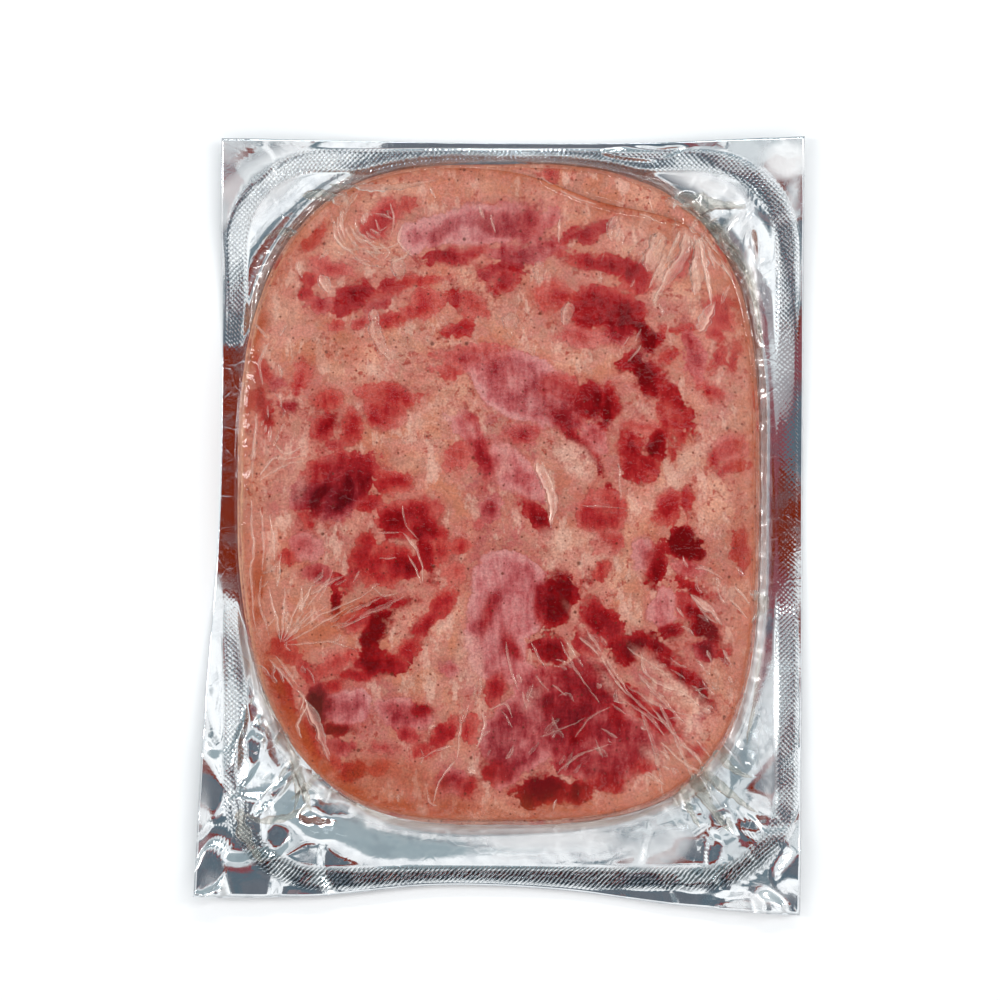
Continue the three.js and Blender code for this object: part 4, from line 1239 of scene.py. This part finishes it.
def foil_material():
    material, tree, output, place = new_material("crinkled foil")
    height, mask = grain(tree, place, 0.9, 5.0, 0.5)
    part = node(tree, "ShaderNodeSeparateXYZ", {0: place}).outputs
    along = plus(tree, part[0], swing(tree, speckle(tree, place, 6.0, 2.0), 2.0 * MM))
    turns = 2 * math.pi / (HATCH_PITCH * math.sqrt(2) * MM)
    falling, rising = (
        maths(tree, "SINE", times(tree, maths(tree, how, along, part[1]), turns))
        for how in ("SUBTRACT", "ADD"))
    hatch = plus(tree, falling, times(tree, rising, ramped(tree, part[1], *BOTTOM_WELD)))
    groove = times(tree, hatch, attribute(tree, "weld"))
    creases = node(tree, "ShaderNodeTexVoronoi", {
        "Vector": place, "Scale": 1 / (7 * MM), "Randomness": 1.0}, feature="DISTANCE_TO_EDGE")
    fold = ramped(tree, creases.outputs[0], 0.0, 0.05)
    total = plus(tree, times(tree, height, 0.5), times(tree, fold, 0.25))
    total = plus(tree, total, times(tree, groove, 0.6))
    tint = blended(tree, mask, FOIL_BRIGHT, FOIL_SCUFFED)
    # Painted shade: the weld's grooves are darkened, more on the bottom weld than elsewhere.
    groove_shade_share = times(tree, attribute(tree, "weld"), ramped(tree, part[1], *BOTTOM_WELD, 0.95, 0.3))
    tint = blended(tree, times(tree, ramped(tree, groove, 1.0, -0.4), groove_shade_share), tint, FOIL_GROOVE_SHADE)
    shader = node(tree, "ShaderNodeBsdfPrincipled", {
        "Base Color": tint, "Metallic": 1.0, "Roughness": plus(tree, times(tree, mask, 0.1), 0.055),
        "Normal": bumped(tree, total, 0.25, 0.05)})
    tree.links.new(shader.outputs[0], output.inputs[0])
    return material


FACE_ON_GLOSS = 0.02


def film_gloss(tree, normal, share):
    """How much a film mirrors: little face on, all at a glancing angle, from either side."""
    facing = node(tree, "ShaderNodeLayerWeight", {"Blend": 0.5, "Normal": normal}).outputs["Facing"]
    glance = times(tree, maths(tree, "POWER", facing, 5.0), 1 - FACE_ON_GLOSS)
    return times(tree, plus(tree, glance, FACE_ON_GLOSS), share)


def film_material():
    material, tree, output, place = new_material("clear film")
    normal = bumped(tree, grain(tree, place, 2.4, 9.0, 0.4)[0], 1.0, 0.09)
    haze = attribute(tree, "haze")
    share = maths(tree, "SUBTRACT", 1.2, times(tree, attribute(tree, "wall"), 1.05))
    cover = plus(tree, film_gloss(tree, normal, share), haze, clamp=True)
    gloss = node(tree, "ShaderNodeBsdfGlossy", {
        "Color": (0.97, 0.96, 0.95, 1), "Roughness": plus(tree, times(tree, haze, 0.9), 0.045),
        "Normal": normal})
    clear = node(tree, "ShaderNodeBsdfTransparent", {"Color": (0.985, 0.98, 0.97, 1)})
    both = node(tree, "ShaderNodeMixShader", {0: cover, 1: clear.outputs[0], 2: gloss.outputs[0]})
    tree.links.new(both.outputs[0], output.inputs[0])
    return material


def crease_material(name, milk, strength):
    """Folded film: milky where its haze is above 0, shadowed where it is below."""
    material, tree, output, place = new_material(name)
    normal = bumped(tree, grain(tree, place, 0.8, 3.0, 0.4)[0], 0.3, 0.08)
    haze = attribute(tree, "haze")
    streaks = patches(tree, place, 2.5, 3.0, 0.55, 0.3, 0.65, 0.5 * strength, strength)
    cloudy = times(tree, maths(tree, "MAXIMUM", haze, 0.0), streaks)
    shadow = maths(tree, "MAXIMUM", times(tree, haze, -1.0), 0.0)
    gloss = node(tree, "ShaderNodeBsdfGlossy", {
        "Color": (1.0, 0.97, 0.94, 1), "Roughness": 0.1, "Normal": normal})
    matt = node(tree, "ShaderNodeBsdfDiffuse", {"Color": milk})
    sheen = node(tree, "ShaderNodeBsdfGlossy", {"Color": milk, "Roughness": 0.4, "Normal": normal})
    milky = node(tree, "ShaderNodeMixShader", {0: 0.4, 1: matt.outputs[0], 2: sheen.outputs[0]})
    tint = blended(tree, shadow, (0.97, 0.96, 0.94, 1), (0.74, 0.52, 0.46, 1))
    clear = node(tree, "ShaderNodeBsdfTransparent", {"Color": tint})
    body = node(tree, "ShaderNodeMixShader", {0: cloudy, 1: clear.outputs[0], 2: milky.outputs[0]})
    cover = film_gloss(tree, normal, 0.9)
    both = node(tree, "ShaderNodeMixShader", {0: cover, 1: body.outputs[0], 2: gloss.outputs[0]})
    tree.links.new(both.outputs[0], output.inputs[0])
    return material


EMULSION = colour(202, 144, 122)
EMULSION_WARM = colour(184, 114, 90)
EMULSION_PINK = colour(190, 122, 108)
EMULSION_GREY = colour(176, 120, 102)
BLUSH_MAUVE = colour(168, 86, 84)
TISSUE = colour(174, 86, 74)
RIM_ORANGE = colour(158, 68, 34)
SIDE_CREAM = colour(228, 176, 142)
SIDE_TAN = colour(170, 88, 54)
FAT_PALE = colour(212, 168, 150)
FLECK_RED = colour(156, 66, 56)
PORE_BROWN = colour(92, 40, 28)
# Lean meat from the palest to the darkest, and the same with a violet cast.
LEAN_STEPS = (
    (0.0, colour(186, 92, 82)), (0.3, colour(171, 64, 57)), (0.55, colour(154, 32, 34)),
    (0.8, colour(130, 12, 18)), (1.0, colour(100, 4, 9)),
)
VIOLET_STEPS = (
    (0.0, colour(194, 130, 126)), (0.15, colour(184, 110, 109)), (0.35, colour(162, 78, 80)),
    (0.6, colour(124, 32, 40)), (1.0, colour(60, 4, 14)),
)
# How noise is turned and drawn out for the lean's fibres and for the wisps of fat.
FIBRE_STRETCH = {"Rotation": (0, 0, math.radians(62)), "Scale": (1, 0.25, 1)}
WISP_STRETCH = {"Rotation": (0, 0, 0.6), "Scale": (1, 0.45, 1)}
# Each kind of pore: its spacing and largest radius in millimetres, and its share.
PORES = ((2.3, 0.24, 0.5), (8.0, 0.42, 0.3))


def colour_ramp(tree, value, steps):
    ramp = node(tree, "ShaderNodeValToRGB", {0: value})
    elements = ramp.color_ramp.elements
    while len(elements) < len(steps):
        elements.new(0.5)
    for element, (position, shade) in zip(elements, steps):
        element.position, element.color = position, shade
    return ramp.outputs[0]


def swing(tree, value, reach):
    """A value about 0.5 as a swing about 0."""
    return times(tree, maths(tree, "SUBTRACT", value, 0.5), reach)


def pores(tree, place, spacing, radius, share, base):
    """Pits of all sizes up to a radius, in a share of evenly strewn cells."""
    cells = node(tree, "ShaderNodeTexVoronoi", {
        "Vector": place, "Scale": 1 / (spacing * MM), "Randomness": 1.0},
        feature="F1", voronoi_dimensions="2D")
    chance = node(tree, "ShaderNodeSeparateXYZ", {0: cells.outputs["Color"]}).outputs
    away = maths(tree, "DIVIDE", cells.outputs["Distance"], plus(tree, chance[1], 0.3))
    pit = ramped(tree, away, 0.4 * radius / spacing, 1.2 * radius / spacing, 0.8, 0)
    chosen = maths(tree, "LESS_THAN", chance[0], share)
    return blended(tree, times(tree, pit, chosen), base, PORE_BROWN)


def hairlines(tree, place, size, width, strength):
    """Thin crooked lines, broken here and there."""
    away = maths(tree, "ABSOLUTE", swing(tree, speckle(tree, place, size, 4.0, 0.6), 1.0))
    line = ramped(tree, away, 0.0, width, strength, 0)
    return times(tree, line, patches(tree, place, 1.7 * size, 2.0, 0.55, 0.46, 0.6))


def emulsion_colour(tree, place, blush):
    """The pale pressed meat between the pieces of lean."""
    pale = patches(tree, place, 13, 2.0, 0.55, 0.38, 0.62)
    base = blended(tree, pale, EMULSION_WARM, EMULSION)
    pink = patches(tree, place, 5, 4.0, 0.6, 0.44, 0.58, 0, 0.8)
    base = blended(tree, pink, base, EMULSION_PINK)
    patchy = patches(tree, place, 7, 4.0, 0.6, 0.38, 0.54, 0.45, 1)
    base = blended(tree, times(tree, blush, patchy), base, BLUSH_MAUVE)
    grey = patches(tree, place, 2.6, 3.0, 0.65, 0.5, 0.6, 0, 0.7)
    base = blended(tree, grey, base, EMULSION_GREY)
    flecks = patches(tree, place, 1.5, 3.0, 0.6, 0.56, 0.64, 0, 0.85)
    flecks = times(tree, flecks, patches(tree, place, 14, 3.0, 0.55, 0.42, 0.58, 0.15, 1))
    base = blended(tree, flecks, base, FLECK_RED)
    wisps = patches(tree, place, 3.4, 4.0, 0.65, 0.53, 0.63, 0, 0.6, WISP_STRETCH)
    base = blended(tree, wisps, base, FAT_PALE)
    return blended(tree, hairlines(tree, place, 5.0, 0.012, 0.45), base, FLECK_RED)


def lean_colour(tree, place, dark):
    """Lean meat at a depth of colour from 0 to 1, streaked along its fibres."""
    fibres = speckle(tree, place, 1.4, 3.0, 0.65, FIBRE_STRETCH)
    dark = plus(tree, dark, swing(tree, fibres, 0.7))
    return plus(tree, dark, swing(tree, speckle(tree, place, 4.5, 3.0), 1.1), clamp=True)


def top_colour(tree, place):
    """The top slice, with its pieces of lean, its fat and its browned rim."""
    base = emulsion_colour(tree, place, attribute(tree, "blush"))
    inside = attribute(tree, "lean")
    edge = plus(tree, inside, swing(tree, speckle(tree, place, 2.8, 2.0), 3.2))
    edge = plus(tree, edge, swing(tree, speckle(tree, place, 0.9, 2.0, 0.6), 1.7))
    soft = patches(tree, place, 7, 2.0, 0.55, 0.4, 0.6, 0.14, 0.8)
    base = blended(tree, ramped(tree, edge, -1.8, -0.1, 0, 0.4), base, TISSUE)
    lean = ramped(tree, maths(tree, "DIVIDE", edge, soft), -1, 1)
    core = ramped(tree, inside, 0.0, 2.4, -0.15, 0.15)
    dark = lean_colour(tree, place, plus(tree, attribute(tree, "dark"), core))
    meat = blended(tree, attribute(tree, "violet"), colour_ramp(tree, dark, LEAN_STEPS),
                   colour_ramp(tree, dark, VIOLET_STEPS))
    base = blended(tree, lean, base, meat)
    outline = ramped(tree, maths(tree, "ABSOLUTE", edge), 0.0, 0.3, 0.3, 0)
    outline = times(tree, outline, patches(tree, place, 3.5, 2.0, 0.55, 0.46, 0.58))
    base = blended(tree, outline, base, PORE_BROWN)
    fat = patches(tree, place, 2.0, 4.0, 0.6, 0.36, 0.6, 0.3, 0.9)
    base = blended(tree, times(tree, attribute(tree, "fat"), fat), base, FAT_PALE)
    browned = patches(tree, place, 4, 4.0, 0.55, 0.32, 0.56, 0.6, 1)
    return blended(tree, times(tree, attribute(tree, "rim"), browned), base, RIM_ORANGE)


def lower_colour(tree, place):
    """The slices beneath, of which little more than the rims is seen."""
    lean = patches(tree, place, 9, 3.0, 0.55, 0.6, 0.66, 0, 0.8)
    meat = colour_ramp(tree, lean_colour(tree, place, 0.3), LEAN_STEPS)
    return blended(tree, lean, emulsion_colour(tree, place, 0.0), meat)


def ham_material(name, painted):
    material, tree, output, place = new_material(name)
    height, mask = grain(tree, place, 0.45, 2.2, 0.6)
    base = painted(tree, place)
    side = blended(tree, attribute(tree, "cream"), SIDE_TAN, SIDE_CREAM)
    bare = patches(tree, place, 6, 4.0, 0.65, 0.36, 0.6, 0.15, 0.7)
    base = blended(tree, times(tree, attribute(tree, "side"), bare), base, side)
    for spacing, radius, share in PORES:
        base = pores(tree, place, spacing, radius, share, base)
    shade = plus(tree, swing(tree, speckle(tree, place, 0.5, 1.0, 0.75), 0.95), 1.0)
    shade = plus(tree, shade, swing(tree, speckle(tree, place, 9, 3.0), 0.4))
    tone = node(tree, "ShaderNodeCombineXYZ", {0: shade, 1: shade, 2: shade}).outputs[0]
    shader = node(tree, "ShaderNodeBsdfPrincipled", {
        "Base Color": blended(tree, 1.0, base, tone, "MULTIPLY"),
        "Roughness": plus(tree, times(tree, mask, 0.2), 0.42),
        "Normal": bumped(tree, height, 0.5, 0.12), "Specular IOR Level": 0.02})
    tree.links.new(shader.outputs[0], output.inputs[0])
    return material


def floor_material():
    material, tree, output, place = new_material("pale table")
    rough = ramped(tree, speckle(tree, place, 60, 0.0), 0.0, 1.0, 0.8, 0.9)
    shader = node(tree, "ShaderNodeBsdfPrincipled", {
        "Base Color": (0.93, 0.93, 0.93, 1), "Roughness": rough, "Specular IOR Level": 0.1})
    tree.links.new(shader.outputs[0], output.inputs[0])
    return material


# ---------------------------------------------------------------- the pieces

FOIL, FILM = foil_material(), film_material()
CREASE = crease_material("folded film", colour(248, 208, 190), 0.66)
WEB = crease_material("webs of spare film", colour(222, 220, 208), 0.4)
TOP_HAM = ham_material("pressed ham, top", top_colour)
LOWER_HAM = ham_material("pressed ham", lower_colour)


def finish_piece(piece, material, slot, *nodes):
    piece.data.materials.clear()
    piece.data.materials.append(material)
    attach(piece, "root")
    if nodes:
        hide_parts(*nodes)


finish_piece(foil_sheet(), FOIL, "foil", "foil_backing")
for index in range(SLICE_COUNT):
    material = TOP_HAM if index == SLICE_COUNT - 1 else LOWER_HAM
    finish_piece(ham_slice(index), material, "ham", f"ham_slice_{index + 1}")
film = film_sheet()
finish_piece(film, FILM, "film", "clear_film")
creases = film_folds("film_creases", CREASES + tuple(scattered_creases()), film, CREASE_HEIGHT, 101)
webs = film_folds("corner_webs", WEB_FOLDS, film, WEB_FOLD_HEIGHT, 111)
finish_piece(creases, CREASE, "film")
finish_piece(webs, WEB, "film")
# Film this thin casts next to no shadow, and next to no light on what is round it.
for clear in (film, creases, webs):
    clear.visible_shadow = clear.visible_diffuse = False
finish_piece(knurl(FOIL), FOIL, "foil")

# ---------------------------------------------------------------- table, light and camera

TABLE_HALF = 1500


def table():
    skin = Skin()
    half = TABLE_HALF
    skin.ring((-half, half, half, -half), (-half, -half, half, half), 0.0)
    skin.faces.append([0, 1, 2, 3])
    piece = skin.piece("table_top")
    piece.data.materials.append(floor_material())
    piece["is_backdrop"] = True


# What hangs over the pack, as patches of the sky that the foil mirrors: left, right,
# near and far side as parts of a direction, softness, strength, colour, and whether
# a patch adds to what is covered or only tints it.
OVERHEAD = (
    (-0.26, 0.065, -0.34, -0.055, 0.025, 1, (100, 118, 130), True),
    (-0.12, 0.12, -0.27, -0.12, 0.04, 0.3, (146, 130, 132), False),
    (-0.36, -0.2, -0.13, 0.01, 0.02, 0.8, (156, 136, 140), True),
    (-0.2, -0.06, -0.035, 0.025, 0.02, 1, (150, 80, 88), True),
    (-0.06, 0.12, -0.035, 0.03, 0.02, 1, (134, 40, 14), True),
)
OVERHEAD_RAGGED = 0.05
SKY_LEVELS = ((0.0, 0.75), (0.35, 0.8), (0.6, 1.15), (0.93, 1.35), (1.0, 1.1))
SKY_SLATE, SKY_BLUE = colour(118, 136, 146), colour(172, 187, 193)


def sky_noise(tree, direction, scale, detail):
    return node(tree, "ShaderNodeTexNoise", {
        "Vector": direction, "Scale": scale, "Detail": detail}).outputs[0]


def overhead(tree, direction, part):
    """How much of the patches overhead a direction meets, and their colour."""
    ragged = swing(tree, sky_noise(tree, direction, 9.0, 3.0), OVERHEAD_RAGGED)
    across, along = (plus(tree, part[i], ragged) for i in (0, 1))
    cover, shade = 0.0, None
    for left, right, near, far, soft, strength, paint, adds in OVERHEAD:
        sides = times(tree, ramped(tree, across, left - soft, left),
                      ramped(tree, across, right, right + soft, 1, 0))
        ends = times(tree, ramped(tree, along, near - soft, near),
                     ramped(tree, along, far, far + soft, 1, 0))
        patch = times(tree, times(tree, sides, ends), strength)
        paint = colour(*paint)
        shade = paint if shade is None else blended(tree, patch, shade, paint)
        if adds:
            cover = maths(tree, "MAXIMUM", cover, patch)
    return cover, shade


def studio_world():
    """Soft white all round, bluer at the far end, with darker things overhead."""
    world = bpy.data.worlds.new("soft studio")
    bpy.context.scene.world = world
    world.use_nodes = True
    tree = world.node_tree
    tree.nodes.clear()
    direction = node(tree, "ShaderNodeTexCoord").outputs["Generated"]
    part = node(tree, "ShaderNodeSeparateXYZ", {0: direction}).outputs
    slate = ramped(tree, sky_noise(tree, direction, 6.0, 2.0), 0.53, 0.62)
    slate = times(tree, slate, ramped(tree, part[2], 0.9, 0.985, 0.5, 1.1))
    level = colour_ramp(
        tree, part[2], [(at, (value, value, value * 1.01, 1)) for at, value in SKY_LEVELS])
    sky = blended(tree, slate, level, SKY_SLATE)
    left = ramped(tree, part[0], -0.03, -0.01, 1, 0)
    blue = times(tree, ramped(tree, part[1], 0.0, 0.03, 0, 0.4), left)
    blue = maths(tree, "MAXIMUM", blue, ramped(tree, part[1], 0.31, 0.36))
    sky = blended(tree, blue, sky, SKY_BLUE)
    cover, shade = overhead(tree, direction, part)
    sky = blended(tree, cover, sky, shade)
    back = node(tree, "ShaderNodeBackground", {"Color": sky, "Strength": 1.0})
    tree.links.new(back.outputs[0], tree.nodes.new("ShaderNodeOutputWorld").inputs[0])


def strip_light(name, at, size, power):
    light = bpy.data.lights.new(name, "AREA")
    light.shape, light.size, light.size_y, light.energy = "RECTANGLE", size[0], size[1], power
    lamp = bpy.data.objects.new(name, light)
    lamp.location = at
    aim = -lamp.location
    lamp.rotation_euler = aim.to_track_quat("-Z", "Y").to_euler()
    bpy.context.collection.objects.link(lamp)


CAMERA_LENS = 150
CAMERA_AIM = (0.22, 5.72)
FRAME_WIDTH = 220
FRAME_LEVEL = 2.5


def camera():
    data = bpy.data.cameras.new("camera")
    data.lens = CAMERA_LENS
    data.clip_end = 20
    eye = bpy.data.objects.new("camera", data)
    distance = FRAME_WIDTH * CAMERA_LENS / data.sensor_width
    eye.location = (CAMERA_AIM[0] * MM, CAMERA_AIM[1] * MM, (distance + FRAME_LEVEL) * MM)
    bpy.context.collection.objects.link(eye)
    bpy.context.scene.camera = eye


table()
studio_world()
strip_light("left strip", (-0.72, 0.1, 0.8), (0.06, 0.6), 2.2)
strip_light("right strip", (0.7, 0.25, 0.8), (0.06, 0.5), 2.2)
strip_light("far strip", (0.1, 0.8, 0.8), (0.5, 0.06), 2)
camera()
bpy.context.scene.view_settings.view_transform = "Standard"

[[list(corner) for corner in box] for box in (cad_box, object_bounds())]
